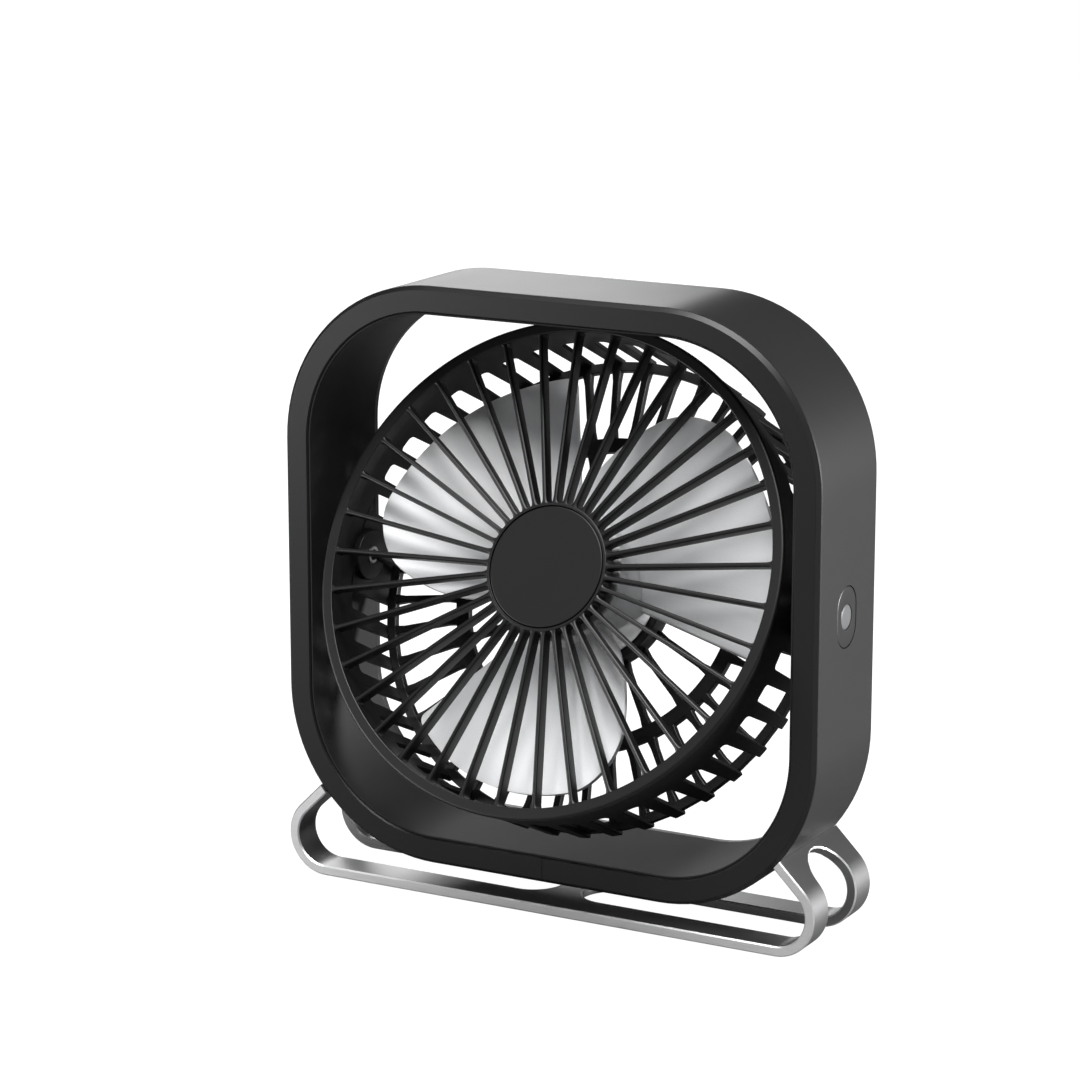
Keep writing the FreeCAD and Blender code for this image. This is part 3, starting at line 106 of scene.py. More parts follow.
class DeskFanFrameSizes(bpy.types.PropertyGroup):
    """Sizes of the square frame and what is fixed in it."""

    size: length("Size", "Outside of the square, both ways", SHELL_HIGH.x - SHELL_LOW.x)
    front: length("Front", "From the middle of the frame to its front face", -BEZEL_LOW.y)
    back: length("Back", "From the middle of the frame to its back face", SHELL_HIGH.y)
    corner: length("Corner", "Outside radius of the rounded corners", 48.2 * MM)
    rim: length("Rim", "From the outer face to the opening", 8.2 * MM)
    wall: length("Wall", "Thickness of the shell", 2.0 * MM)
    back_round: length("Back Rounding", "Radius of the shell's outer back edge", 1.0 * MM)
    trim_thick: length("Trim Thickness", "Front to back of the trim ring", 1.6 * MM)
    trim_chamfer: length("Trim Chamfer", "Chamfer round the outside of the trim", 1.2 * MM)
    trim_inner_chamfer: length("Trim Inner Chamfer", "Chamfer round the inside of the trim", 0.4 * MM)
    trim_seam: length("Trim Seam", "Slit where the trim's ends meet", 0.15 * MM)
    liner_wall: length("Liner Wall", "Thickness of the liner", 1.5 * MM)
    lip_wall: length("Lip Wall", "Thickness of the liner's front lip", 0.55 * MM)
    lip_setback: length("Lip Setback", "From the front face back to the lip", 0.6 * MM)
    screw_spread: length("Screw Spread", "Side to side between the back screws", 60.0 * MM)
    screw_inset: length("Screw Inset", "From the outer face to a back screw", 4.65 * MM)
    screw_head: length("Screw Head", "Radius of a back screw's head", 1.8 * MM)
    fit_gap: length("Fit Gap", "Clearance round parts that seat in each other", 0.05 * MM)


class DeskFanButtonSizes(bpy.types.PropertyGroup):
    """Sizes of the power button, its light guide and the power inlet."""

    half_width: length("Half Width", "Half the width of the button's opening", 6.4 * MM)
    straight: length("Straight", "Length of the button's straight sides", 5.0 * MM)
    gap: length("Gap", "Clearance round the button", 0.2 * MM)
    flange: length("Flange", "How far the flange stands past the opening", 0.7 * MM)
    lens: length("Light Guide", "Radius of the light guide", 3.5 * MM)
    inlet_width: length("Inlet Width", "Outside width of the inlet's sleeve", 8.9 * MM)
    inlet_height: length("Inlet Height", "Outside height of the inlet's sleeve", 3.2 * MM)


class DeskFanStandSizes(bpy.types.PropertyGroup):
    """Sizes of the bent strip that carries the frame."""

    spread: length("Spread", "Between the outsides of the two bends", STAND_HIGH.x - STAND_LOW.x)
    underside: length("Underside", "Height of the rail's underside", STAND_LOW.z)
    width: length("Width", "Front to back of the strip", STAND_HIGH.y - STAND_LOW.y)
    thick: length("Thickness", "Thickness of the strip", 3.0 * MM)
    bend: length("Bend Radius", "Outside radius of each bend", 12.0 * MM)
    lean: angle("Lean", "Slope of the arms from the desk", math.radians(45.0))
    slot_width: length("Slot Width", "Width of the two slots", 18.5 * MM)
    bridge: length("Bridge", "Web left between the slots", 8.0 * MM)
    slot_to_frame: length("Slot To Frame", "From a slot's end to the frame", 2.0 * MM)
    # The chamfer's brightness comes from the edge finish, whose near-white colour is a painted highlight.
    chamfer: length("Chamfer", "Bright chamfer on every edge", 0.4 * MM)


class DeskFanHeadSizes(bpy.types.PropertyGroup):
    """Sizes of the grille and the cage."""

    ring: length("Ring Radius", "Outside radius of the front ring", 72.2 * MM)
    ring_open: length("Ring Opening", "Inside radius of the front ring", 68.7 * MM)
    face: length("Face", "From the pivot forwards to the front face", 18.8 * MM)
    ring_depth: length("Ring Depth", "Front to back of the grille's ring", 5.0 * MM)
    flange: length("Flange", "Thickness of the ring that shows in front", 1.7 * MM)
    groove: length("Groove", "Parting groove behind the front ring", 1.2 * MM)
    ribs: count("Ribs", "Ribs in the front grille", 37)
    rib_width: length("Rib Width", "Width of a front rib", 1.3 * MM)
    rib_depth: length("Rib Depth", "Front to back of a front rib", 4.0 * MM)
    hub: length("Hub Radius", "Outside radius of the front hub", 18.7 * MM)
    hub_wall: length("Hub Wall", "Wall of the front hub", 1.2 * MM)
    hub_depth: length("Hub Depth", "Front to back of the front hub", 5.0 * MM)
    cap_thick: length("Cap Thickness", "Thickness of the hub's cap", 1.2 * MM)
    cap_groove: length("Cap Groove", "Line round the cap", 0.3 * MM)
    cage: length("Cage Radius", "Outside of the cage's front band", 71.4 * MM)
    cage_wall: length("Cage Wall", "Thickness of the band and the struts", 2.0 * MM)
    cage_back: length("Cage Back", "From the pivot back to the lattice", 19.7 * MM)
    struts: count("Struts", "Side struts of the cage", 44)
    strut_step: length("Strut Step", "How far the struts stand inside the band", 0.4 * MM)
    window_front: length("Window Front", "Where the side windows start, ahead of the pivot", 5.5 * MM)
    window_width: length("Window Width", "Width of a side window at its front end", 5.2 * MM)
    window_back: length("Window Back Width", "Width of a side window at the lattice", 6.6 * MM)
    window_corner: length("Window Corner", "Radius of a window's front corners", 1.6 * MM)
    lattice: length("Lattice Thickness", "Thickness of the rear lattice", 2.6 * MM)
    lattice_rib: length("Lattice Rib", "Width of a rear rib", 2.0 * MM)
    edge: length("Edge Radius", "Corner radius of the lattice's outer ring", 70.0 * MM)
    edge_width: length("Edge Width", "Width of the lattice's outer ring", 3.0 * MM)
    middle: length("Middle Radius", "Outside of the lattice's middle ring", 46.8 * MM)
    middle_width: length("Middle Width", "Width of the lattice's middle ring", 4.3 * MM)
    rear_hub: length("Rear Hub", "Outside radius of the motor's seat", 22.5 * MM)
    rear_hub_wall: length("Rear Hub Wall", "Wall of the motor's seat", 1.6 * MM)
    rear_hub_front: length("Rear Hub Front", "From the pivot back to the motor's flange", 13.2 * MM)
    pad: length("Pivot Pad", "Radius of the pads that hold the pivot pins", 7.6 * MM)
    pad_out: length("Pad Face", "From the fan's axis to a pivot pad's face", 73.2 * MM)
    pin: length("Pin Radius", "Radius of a pivot pin", 2.5 * MM)


class DeskFanImpellerSizes(bpy.types.PropertyGroup):
    """Sizes of the impeller."""

    blades: count("Blades", "Blades on the impeller", 3)
    tip: length("Tip Radius", "Outside radius of the blades", 63.0 * MM)
    hub: length("Hub Radius", "Outside radius of the impeller's hub", 20.4 * MM)
    hub_wall: length("Hub Wall", "Wall of the impeller's hub", 1.7 * MM)
    hub_back: length("Hub Back", "From the pivot back to the hub's edge", 12.7 * MM)
    hub_front: length("Hub Front", "From the pivot forwards to the hub's face", 12.6 * MM)
    thick: length("Blade Thickness", "Thickness of a blade", 1.8 * MM)
    start: angle("Blade Start", "Leading edge of the first blade", math.radians(105.0))
    span: angle("Blade Span", "Angle that a blade takes at its tip", math.radians(72.0))
    sweep: angle("Blade Sweep", "Angle that it takes more at the hub", math.radians(31.0))
    rise: length("Blade Rise", "From the leading to the trailing edge, along the axis", 17.0 * MM)
    camber: length("Blade Camber", "Arch of a blade", 1.6 * MM)
    trailing_round: length("Trailing Corner", "Radius of the outer trailing corner", 13.0 * MM)
    leading_round: length("Leading Corner", "Radius of the outer leading corner", 3.0 * MM)


class DeskFanFinishes(bpy.types.PropertyGroup):
    """Colours of the moulded and metal parts."""

    frame_black: colour("Frame", "Grained plastic of the frame", (0.0145, 0.0145, 0.0152))
    # Darker than the frame's colour: painted shade for the inside of the opening.
    liner_black: colour("Liner", "Coarser plastic inside the opening", (0.0115, 0.0115, 0.012))
    trim_black: colour("Trim", "Smooth plastic of the front trim", (0.005, 0.005, 0.0053))
    grille_black: colour("Grille", "Satin plastic of the grille and cage", (0.005, 0.005, 0.0053))
    impeller_grey: colour("Impeller", "Pale plastic of the impeller", (0.78, 0.79, 0.80))
    strip_metal: colour("Strip", "Satin aluminium of the stand", (0.33, 0.33, 0.335))
    # Near-white colour on the stand's chamfers and outer edges: a painted highlight along every edge.
    strip_edge: colour("Strip Edge", "Cut edges of the stand", (0.95, 0.95, 0.96))
    lens: colour("Light Guide", "Milky plastic in the button", (0.14, 0.142, 0.145))
    grain: length("Grain Size", "Size of the frame's moulded grain", 0.35 * MM)


class DeskFanStageSettings(bpy.types.PropertyGroup):
    """Where the camera stands, and how bright the studio is."""

    azimuth: angle("Azimuth", "Camera's angle to the right of straight ahead", math.radians(28.775))
    elevation: angle("Elevation", "Camera's angle above level", math.radians(13.323))
    distance: length("Distance", "From the camera to the frame's middle", 1041.1 * MM)
    shift_left: length("Step Left", "How far the camera stands to the left of its aim", 9.81 * MM)
    shift_up: length("Step Up", "How far the camera stands above its aim", 11.76 * MM)
    lens: bpy.props.FloatProperty(
        name="Lens", description="Focal length in millimetres", default=121.45, min=1.0
    )
    floor: length("Floor", "Side of the floor sheet", 30.0)
    glow: share("Floor Glow", "How bright the floor is made for the camera", 1.0)
    world: share("Room Light", "Brightness of the room between the lamps", 0.03)


SETTINGS = {
    "desk_fan_frame": DeskFanFrameSizes,
    "desk_fan_button": DeskFanButtonSizes,
    "desk_fan_stand": DeskFanStandSizes,
    "desk_fan_head": DeskFanHeadSizes,
    "desk_fan_impeller": DeskFanImpellerSizes,
    "desk_fan_finishes": DeskFanFinishes,
    "desk_fan_stage": DeskFanStageSettings,
}


# ---- arrays of points ----
def unit(vectors):
    return vectors / np.linalg.norm(vectors, axis=-1, keepdims=True)


def tilt(points):
    """Level head points to their place: turned about X by the rest tilt, then lifted to the pivot."""
    x, y, z = np.moveaxis(points, -1, 0)
    cos, sin = math.cos(REST_TILT), math.sin(REST_TILT)
    return np.stack([x, y * cos + z * sin, z * cos - y * sin + CENTRE_HEIGHT], -1)


def as_it_is(points):
    """Points that were worked out where they belong."""
    return points


def lift(points):
    """Frame points, worked out about the middle of the frame, lifted to their height above the desk."""
    return points + np.array([0.0, 0.0, CENTRE_HEIGHT])


def rounded_loop(corners, radii, steps=4, runs=None):
    """A closed outline with each corner replaced by an arc tangent to both of its sides.

    The arc's points are weighted sums of its two end radii, with sine weights, and one more point on each
    side keeps the flat beyond it flat. runs maps a corner's number to points that follow it.
    """
    corners = np.asarray(corners, float)
    radii = np.broadcast_to(np.asarray(radii, float), len(corners))[:, None]
    towards = unit(np.roll(corners, 1, axis=0) - corners)
    away = unit(np.roll(corners, -1, axis=0) - corners)
    half = np.arccos(np.clip((towards * away).sum(-1, keepdims=True), -1, 1)) / 2
    setback = radii / np.tan(half)
    centre = corners + unit(towards + away) * radii / np.sin(half)
    first = corners + towards * setback - centre
    last = corners + away * setback - centre
    turn = (math.pi - 2 * half)[:, None]
    t = np.linspace(0, 1, steps + 1)[None, :, None]
    arcs = (np.sin((1 - t) * turn) * first[:, None] + np.sin(t * turn) * last[:, None]) / np.sin(turn)
    lead = 0.35 * radii
    before = (corners + towards * (setback + lead))[:, None]
    after = (corners + away * (setback + lead))[:, None]
    rounded = np.concatenate([before, centre[:, None] + arcs, after], axis=1)
    pieces = []
    for i in range(len(corners)):
        pieces.append(rounded[i])
        if runs and i in runs:
            pieces.append(np.asarray(runs[i], float))
    return np.concatenate(pieces)


def square_path(half, corner, stops, arc_steps=24):
    """Points of a rounded square and their outward directions, in X and Z, from the bottom left.

    One quarter is a straight side at the given stops and a quarter circle. The others are its turns.
    """
    stops = np.asarray(stops, float)
    turns = np.linspace(-math.pi / 2, 0, arc_steps + 1)[:-1]
    arc = np.stack([np.cos(turns), np.sin(turns)], -1)
    centre = np.array([half - corner, corner - half])
    side = np.stack([stops, np.full_like(stops, -half)], -1)
    points = np.concatenate([side, centre + corner * arc])
    outwards = np.concatenate([np.tile([0.0, -1.0], (len(stops), 1)), arc])
    quarter = np.array([[0.0, 1.0], [-1.0, 0.0]])
    turned = [np.linalg.matrix_power(quarter, k) for k in range(4)]
    all_points = np.concatenate([points @ turn for turn in turned])
    return all_points, np.concatenate([outwards @ turn for turn in turned])


def square_sweep(profile, path, outwards):
    """A profile of (depth inside the outer face, Y) carried round the rounded square, as rows of points."""
    inwards = profile[None, :, 0, None] * outwards[:, None, :]
    flat = path[:, None, :] - inwards
    y = np.broadcast_to(profile[None, :, 1], flat.shape[:2])
    return np.stack([flat[..., 0], y, flat[..., 1]], -1)


def lathe(profile, segments, start=0.0):
    """A profile of (radius, distance ahead) turned about the fan's axis, as rows of points."""
    turns = start + TAU * np.arange(segments) / segments
    radius, ahead = profile[None, :, 0], profile[None, :, 1]
    x = radius * np.cos(turns)[:, None]
    z = radius * np.sin(turns)[:, None]
    return np.stack([x, np.broadcast_to(-ahead, x.shape), z], -1)


def side_lathe(profile, segments):
    """A profile of (radius, X) turned about the X axis through the pivot, as rows of points."""
    turns = TAU * np.arange(segments) / segments
    radius, x = profile[None, :, 0], profile[None, :, 1]
    y = radius * np.cos(turns)[:, None]
    z = radius * np.sin(turns)[:, None]
    return np.stack([np.broadcast_to(x, y.shape), y, z], -1)


def bars(section, stations, turns):
    """Radial bars at the given angles. section has (across, ahead) for every station along the bar.

    A point is the station's radius along the bar, plus across times the direction square to it.
    """
    cos, sin = np.cos(turns)[:, None, None], np.sin(turns)[:, None, None]
    across, ahead = section[None, ..., 0], section[None, ..., 1]
    radius = stations[None, :, None]
    x = radius * cos - across * sin
    z = radius * sin + across * cos
    return np.stack([x, np.broadcast_to(-ahead, x.shape), z], -1)


def stadium_ring(half_straight, radius, place, steps=16):
    """Rings on a racetrack outline: half circles at both ends, joined by straight sides.

    Each ring has its own half straight, radius and place along its axis. A point is (across, along, place).
    """
    turns = np.linspace(0, math.pi, steps + 1)
    turns = np.concatenate([turns, turns + math.pi])
    end = np.repeat([1.0, -1.0], steps + 1)
    across = radius[:, None] * np.cos(turns)
    along = radius[:, None] * np.sin(turns) + half_straight[:, None] * end
    return np.stack([across, along, np.broadcast_to(place[:, None], across.shape)], -1)


def onto_stadium(points, centre, along, half_straight, radius):
    """The nearest points of a racetrack outline: from each point straight towards its middle line."""
    reach = np.clip((points - centre) @ along, -half_straight, half_straight)
    foot = centre + reach[:, None] * along
    return foot + radius * unit(points - foot)


class Skin:
    """Points and faces of one piece, gathered grid by grid."""

    def __init__(self):
        self.points = []
        self.faces = []
        self.finishes = []
        self.total = 0

    def add(self, points):
        """Add points and give their numbers back, in the same arrangement."""
        flat = points.reshape(-1, 3)
        self.points.append(flat)
        numbers = np.arange(self.total, self.total + len(flat)).reshape(points.shape[:-1])
        self.total += len(flat)
        return numbers

    def join(self, faces, finish=0):
        self.faces.append(faces)
        self.finishes.append(np.full(len(faces), finish))

    def weave(self, numbers, close_rows=False, close_cols=False, leave=(), finish=0):
        """Four-sided faces between neighbours of a grid. leave lists blocks of faces to leave out."""
        below = np.roll(numbers, -1, axis=0)
        quads = np.stack([numbers, np.roll(numbers, -1, axis=1), np.roll(below, -1, axis=1), below], -1)
        keep = np.ones(numbers.shape, bool)
        keep[-1, :] &= close_rows
        keep[:, -1] &= close_cols
        for block in leave:
            keep[block] = False
        if np.ndim(finish):
            finish = np.broadcast_to(finish, numbers.shape)[keep]
        self.join(quads[keep], finish)
        return numbers

    def grid(self, points, **options):
        return self.weave(self.add(points), **options)

    def bridge(self, first, second, finish=0):
        """Faces between two rings with the same number of points."""
        self.weave(np.stack([first, second]), close_cols=True, finish=finish)

    def cap(self, ring):
        """Close a ring with triangles to its middle."""
        points = np.concatenate(self.points)[ring]
        middle = self.add(points.mean(axis=0, keepdims=True))[0]
        self.join(np.stack([ring, np.roll(ring, -1), np.full(len(ring), middle)], -1))

    def mesh(self, name, place):
        """The mesh, with shared points merged. place moves the points to where they belong."""
        mesh = bpy.data.meshes.new(name)
        faces = [face for block in self.faces for face in block.tolist()]
        mesh.from_pydata(place(np.concatenate(self.points)), [], faces)
        mesh.polygons.foreach_set("material_index", np.concatenate(self.finishes).astype(np.int32))
        work = bmesh.new()
        work.from_mesh(mesh)
        bmesh.ops.remove_doubles(work, verts=work.verts, dist=1e-6)
        bmesh.ops.recalc_face_normals(work, faces=work.faces)
        work.to_mesh(mesh)
        work.free()
        return mesh


def ring_numbers(grid, rows, cols):
    """Numbers round the edge of a block of a grid, in order."""
    block = grid[np.ix_(rows, cols)]
    return np.concatenate([block[0, :-1], block[:-1, -1], block[-1, :0:-1], block[:0:-1, 0]])


def pierce(skin, grid, rows, outer_cols, inner_cols, stages, finish=0):
    """A hole through a wall, from a block of its outer face to the block behind it.

    Each stage moves the outer block's edge points to one ring of the hole, from outside to inside.
    """
    first = ring_numbers(grid, rows, outer_cols)
    last = ring_numbers(grid, rows, inner_cols)
    points = np.concatenate(skin.points)[first]
    rings = [first] + [skin.add(stage(points)) for stage in stages] + [last]
    finishes = np.broadcast_to(finish, len(rings) - 1)
    for before, after, each in zip(rings, rings[1:], finishes):
        skin.bridge(before, after, int(each))


def between(values, low, high):
    """Numbers of the values from low to high, in rising order of value."""
    found = np.flatnonzero((values >= low - 1e-9) & (values <= high + 1e-9))
    return found[np.argsort(values[found])]


def faces_of(rows, cols):
    """The faces of a block of lines, as needed by Skin.weave."""
    return np.ix_(np.sort(rows)[:-1], np.sort(cols)[:-1])


# ---- effects shared by the finishes ----
def new_group(name, inputs):
    """An empty shader group that gives a colour, a roughness and a height, and its two end nodes."""
    group = bpy.data.node_groups.new(name, "ShaderNodeTree")
    for label, kind, default in inputs:
        socket = group.interface.new_socket(name=label, in_out="INPUT", socket_type=kind)
        socket.default_value = default
    for label, kind in (("Color", "Color"), ("Roughness", "Float"), ("Height", "Float")):
        group.interface.new_socket(name=label, in_out="OUTPUT", socket_type="NodeSocket" + kind)
    return group, group.nodes.new("NodeGroupInput"), group.nodes.new("NodeGroupOutput")


def make_node(tree, kind, **values):
    """A node with the given properties, and with the given values on its inputs."""
    node = tree.nodes.new(kind)
    for key, value in values.items():
        if key in node.inputs:
            node.inputs[key].default_value = value
        else:
            setattr(node, key, value)
    return node


def mix_colours(tree, factor, first, second):
    """A colour between two others. Each argument is a socket."""
    mix = make_node(tree, "ShaderNodeMix", data_type="RGBA")
    tree.links.new(factor, mix.inputs[0])
    tree.links.new(first, mix.inputs[6])
    tree.links.new(second, mix.inputs[7])
    return mix.outputs[2]


def brightened(tree, colour_socket, amount):
    """A colour times a number."""
    value = make_node(tree, "ShaderNodeHueSaturation", Value=amount)
    tree.links.new(colour_socket, value.inputs["Color"])
    return value.outputs["Color"]


def range_of(tree, source, low, high):
    """A value from 0 to 1 stretched to run from low to high. Low and high are sockets or numbers."""
    ranged = make_node(tree, "ShaderNodeMapRange")
    tree.links.new(source, ranged.inputs["Value"])
    for label, end in (("To Min", low), ("To Max", high)):
        if isinstance(end, bpy.types.NodeSocket):
            tree.links.new(end, ranged.inputs[label])
        else:
            ranged.inputs[label].default_value = end
    return ranged.outputs["Result"]


def moulded_grain_group():
    """Fine pits of a moulding, with a faint drift in colour and gloss over the surface."""
    inputs = [
        ("Color", "NodeSocketColor", (0.02, 0.02, 0.02, 1.0)),
        ("Fineness", "NodeSocketFloat", 3000.0),
        ("Drift", "NodeSocketFloat", 18.0),
        ("Dull", "NodeSocketFloat", 0.5),
        ("Glossy", "NodeSocketFloat", 0.4),
    ]
    group, given, result = new_group("Moulded Grain", inputs)
    place = make_node(group, "ShaderNodeTexCoord")
    pits = make_node(group, "ShaderNodeTexNoise", Detail=2.0, Roughness=0.6)
    drift = make_node(group, "ShaderNodeTexNoise", Detail=3.0, Roughness=0.5)
    for noise, label in ((pits, "Fineness"), (drift, "Drift")):
        group.links.new(place.outputs["Object"], noise.inputs["Vector"])
        group.links.new(given.outputs[label], noise.inputs["Scale"])
    dark = brightened(group, given.outputs["Color"], 0.93)
    light = brightened(group, given.outputs["Color"], 1.10)
    drifted = mix_colours(group, drift.outputs["Fac"], dark, light)
    speckle = brightened(group, drifted, 1.25)
    spots = range_of(group, pits.outputs["Fac"], 0.0, 0.5)
    group.links.new(mix_colours(group, spots, drifted, speckle), result.inputs["Color"])
    gloss = range_of(group, drift.outputs["Fac"], given.outputs["Glossy"], given.outputs["Dull"])
    group.links.new(gloss, result.inputs["Roughness"])
    group.links.new(pits.outputs["Fac"], result.inputs["Height"])
    return group


def drawn_grain_group():
    """Fine lines of a rolled or brushed metal, long in X and short the other ways."""
    inputs = [
        ("Color", "NodeSocketColor", (0.6, 0.6, 0.6, 1.0)),
        ("Fineness", "NodeSocketFloat", 2500.0),
        ("Dull", "NodeSocketFloat", 0.42),
        ("Glossy", "NodeSocketFloat", 0.30),
    ]
    group, given, result = new_group("Drawn Grain", inputs)
    place = make_node(group, "ShaderNodeTexCoord")
    stretch = make_node(group, "ShaderNodeMapping", Scale=(0.04, 1.0, 1.0))
    lines = make_node(group, "ShaderNodeTexNoise", Detail=2.0, Roughness=0.55)
    group.links.new(place.outputs["Object"], stretch.inputs["Vector"])
    group.links.new(stretch.outputs["Vector"], lines.inputs["Vector"])
    group.links.new(given.outputs["Fineness"], lines.inputs["Scale"])
    dark = brightened(group, given.outputs["Color"], 0.92)
    light = brightened(group, given.outputs["Color"], 1.06)
    group.links.new(mix_colours(group, lines.outputs["Fac"], dark, light), result.inputs["Color"])
    gloss = range_of(group, lines.outputs["Fac"], given.outputs["Glossy"], given.outputs["Dull"])
    group.links.new(gloss, result.inputs["Roughness"])
    group.links.new(lines.outputs["Fac"], result.inputs["Height"])
    return group


# ---- finishes ----
def finish_with(name, group_maker, values, bump, depth, shader):
    """A material whose colour, roughness and bump come from one effect. shader has its constants."""
    material = bpy.data.materials.get(name)
    if material:
        return material
    material = bpy.data.materials.new(name)
    material.use_nodes = True
    tree = material.node_tree
    principled = tree.nodes["Principled BSDF"]
    group_name = " ".join(word.capitalize() for word in group_maker.__name__.split("_")[:-1])
    effect = make_node(tree, "ShaderNodeGroup")
    effect.node_tree = bpy.data.node_groups.get(group_name) or group_maker()
    for label, value in values.items():
        effect.inputs[label].default_value = value
    dents = make_node(tree, "ShaderNodeBump", Strength=bump, Distance=depth)
    tree.links.new(effect.outputs["Height"], dents.inputs["Height"])
    tree.links.new(effect.outputs["Color"], principled.inputs["Base Color"])
    tree.links.new(effect.outputs["Roughness"], principled.inputs["Roughness"])
    tree.links.new(dents.outputs["Normal"], principled.inputs["Normal"])
    for label, value in shader.items():
        principled.inputs[label].default_value = value
    return material


def moulded(name, tint, fineness, dull, glossy, bump=0.25, depth=0.00004, **shader):
    values = {"Color": (*tint, 1.0), "Fineness": fineness, "Dull": dull, "Glossy": glossy}
    return finish_with(name, moulded_grain_group, values, bump, depth, shader)


def metal(name, tint, fineness, dull, glossy, bump=0.15, depth=0.00002, **shader):
    values = {"Color": (*tint, 1.0), "Fineness": fineness, "Dull": dull, "Glossy": glossy}
    return finish_with(name, drawn_grain_group, values, bump, depth, {"Metallic": 1.0, **shader})


def frame_black():
    finishes = bpy.context.scene.desk_fan_finishes
    fineness = 1 / finishes.grain
    return moulded("grained_frame_plastic", finishes.frame_black, fineness, 0.42, 0.36, bump=0.35)


# The liner's darker tint is painted shade inside the opening. Its coarser grain and duller gloss belong to its
# surface.
def liner_black():
    finishes = bpy.context.scene.desk_fan_finishes
    fineness = 1 / finishes.grain
    return moulded(
        "coarse_liner_plastic", finishes.liner_black, fineness, 0.66, 0.58,
        bump=0.6, depth=0.00006, **{"Specular IOR Level": 0.3},
    )


def trim_black():
    tint = bpy.context.scene.desk_fan_finishes.trim_black
    constants = {"Specular IOR Level": 0.4}
    return moulded("smooth_trim_plastic", tint, 4500, 0.44, 0.38, bump=0.12, **constants)


def grille_black():
    tint = bpy.context.scene.desk_fan_finishes.grille_black
    constants = {"Specular IOR Level": 0.4}
    return moulded("satin_grille_plastic", tint, 4000, 0.42, 0.36, bump=0.1, **constants)


def impeller_grey():
    tint = bpy.context.scene.desk_fan_finishes.impeller_grey
    return moulded(
        "pale_impeller_plastic", tint, 2500, 0.42, 0.34, bump=0.06,
        **{"Subsurface Weight": 0.25, "Subsurface Radius": (1.0, 1.0, 1.0), "Subsurface Scale": 0.002},
    )


def strip_metal():
    return metal("satin_strip_metal", bpy.context.scene.desk_fan_finishes.strip_metal, 3500, 0.44, 0.34)


# Near-white metal for the stand's chamfers and outer edges: a painted highlight.
def strip_edge():
    return metal("bright_strip_edge", bpy.context.scene.desk_fan_finishes.strip_edge, 6000, 0.46, 0.38)


def lens_plastic():
    tint = bpy.context.scene.desk_fan_finishes.lens
    return moulded("milky_light_guide", tint, 5000, 0.34, 0.28, bump=0.05, **{"Coat Weight": 0.3})


def pad_rubber():
    return moulded("matt_pad_rubber", (0.022, 0.022, 0.023), 2500, 0.9, 0.8, bump=0.4)


def bush_nylon():
    return moulded("black_nylon", (0.03, 0.03, 0.031), 3000, 0.5, 0.42, bump=0.1)


def board_green():
    return moulded("green_board_lacquer", (0.012, 0.10, 0.045), 900, 0.34, 0.28, bump=0.1)


def chip_black():
    return moulded("dull_chip_epoxy", (0.02, 0.02, 0.021), 5000, 0.75, 0.65)


def plunger_white():
    return moulded("white_switch_plastic", (0.74, 0.73, 0.70), 4000, 0.5, 0.4, bump=0.1)


def lead_sheath():
    return moulded("soft_lead_sheath", (0.018, 0.018, 0.019), 2500, 0.62, 0.52)


def plain_steel():
    return metal("plain_steel", (0.56, 0.56, 0.57), 5000, 0.38, 0.28)


def inlet_steel():
    return metal("drawn_inlet_steel", (0.63, 0.63, 0.64), 5000, 0.32, 0.24)


def clamp_metal():
    return metal("cast_clamp_metal", (0.52, 0.52, 0.53), 1500, 0.55, 0.45)


def coil_copper():
    return metal("enamelled_copper", (0.72, 0.30, 0.12), 6000, 0.36, 0.26)


def magnet_dark():
    return metal("sintered_magnet", (0.09, 0.09, 0.095), 2500, 0.6, 0.5)


FINISH_OF_SLOT = {
    "frame_black": frame_black,
    "button_black": frame_black,
    "grille_black": grille_black,
    "strip_metal": strip_metal,
    "impeller_grey": impeller_grey,
    "lens_clear": lens_plastic,
    "pad_rubber": pad_rubber,
    "steel": plain_steel,
    "inlet_metal": inlet_steel,
    "bush_nylon": bush_nylon,
    "clamp_metal": clamp_metal,
    "board_green": board_green,
    "chip_black": chip_black,
    "plunger_white": plunger_white,
    "copper": coil_copper,
    "magnet_dark": magnet_dark,
    "lead_sheath": lead_sheath,
}
SLOT_OF_NODE = {part["node"]: part["material_slot"] for part in frame["record"]["subparts"]}
BODY_OF_NODE = {n: body for body, nodes in frame["record"]["behaviour"]["bodies"].items() for n in nodes}
SHARP_ANGLE = math.radians(32.0)


def place_piece(name, skin, place, node, *materials, sharp=SHARP_ANGLE):
    """Put a finished skin in the scene with the given finishes: it stands for a CAD node, whose part it hides, and
    rides on that node's body.
    """
    mesh = skin.mesh(name, place)
    mesh.shade_smooth()
    mesh.set_sharp_from_angle(angle=sharp)
    for material in materials:
        mesh.materials.append(material)
    piece = bpy.data.objects.new(name, mesh)
    bpy.context.scene.collection.objects.link(piece)
    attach(piece, BODY_OF_NODE[node])
    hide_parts(node)


def add_turned(skin, corners, radii, segments):
    """A solid of revolution about the fan's axis, from an outline whose corner radii are in millimetres."""
    profile = rounded_loop(corners, np.array(radii) * MM)
    skin.grid(lathe(profile, segments), close_rows=True, close_cols=True)


# ---- frame ----
BUTTON_LINES = np.array([-12.0, -9.6, -7.2, -4.8, -2.5, 0.0, 2.5, 4.8, 7.2, 9.6, 12.0]) * MM
SCREW_LINES = np.array([-4.0, -2.0, 0.0, 2.0, 4.0]) * MM
DEPTH_LINES = np.array([2.6, 3.6, 4.65, 5.7, 6.7]) * MM
WALL_LINES = np.array([-14.0, -9.0, -6.0, -3.0, 0.0, 3.0, 6.0, 9.0, 14.0]) * MM
UP = (0.0, 0.0, 1.0)
SIDEWAYS = (1.0, 0.0, 0.0)


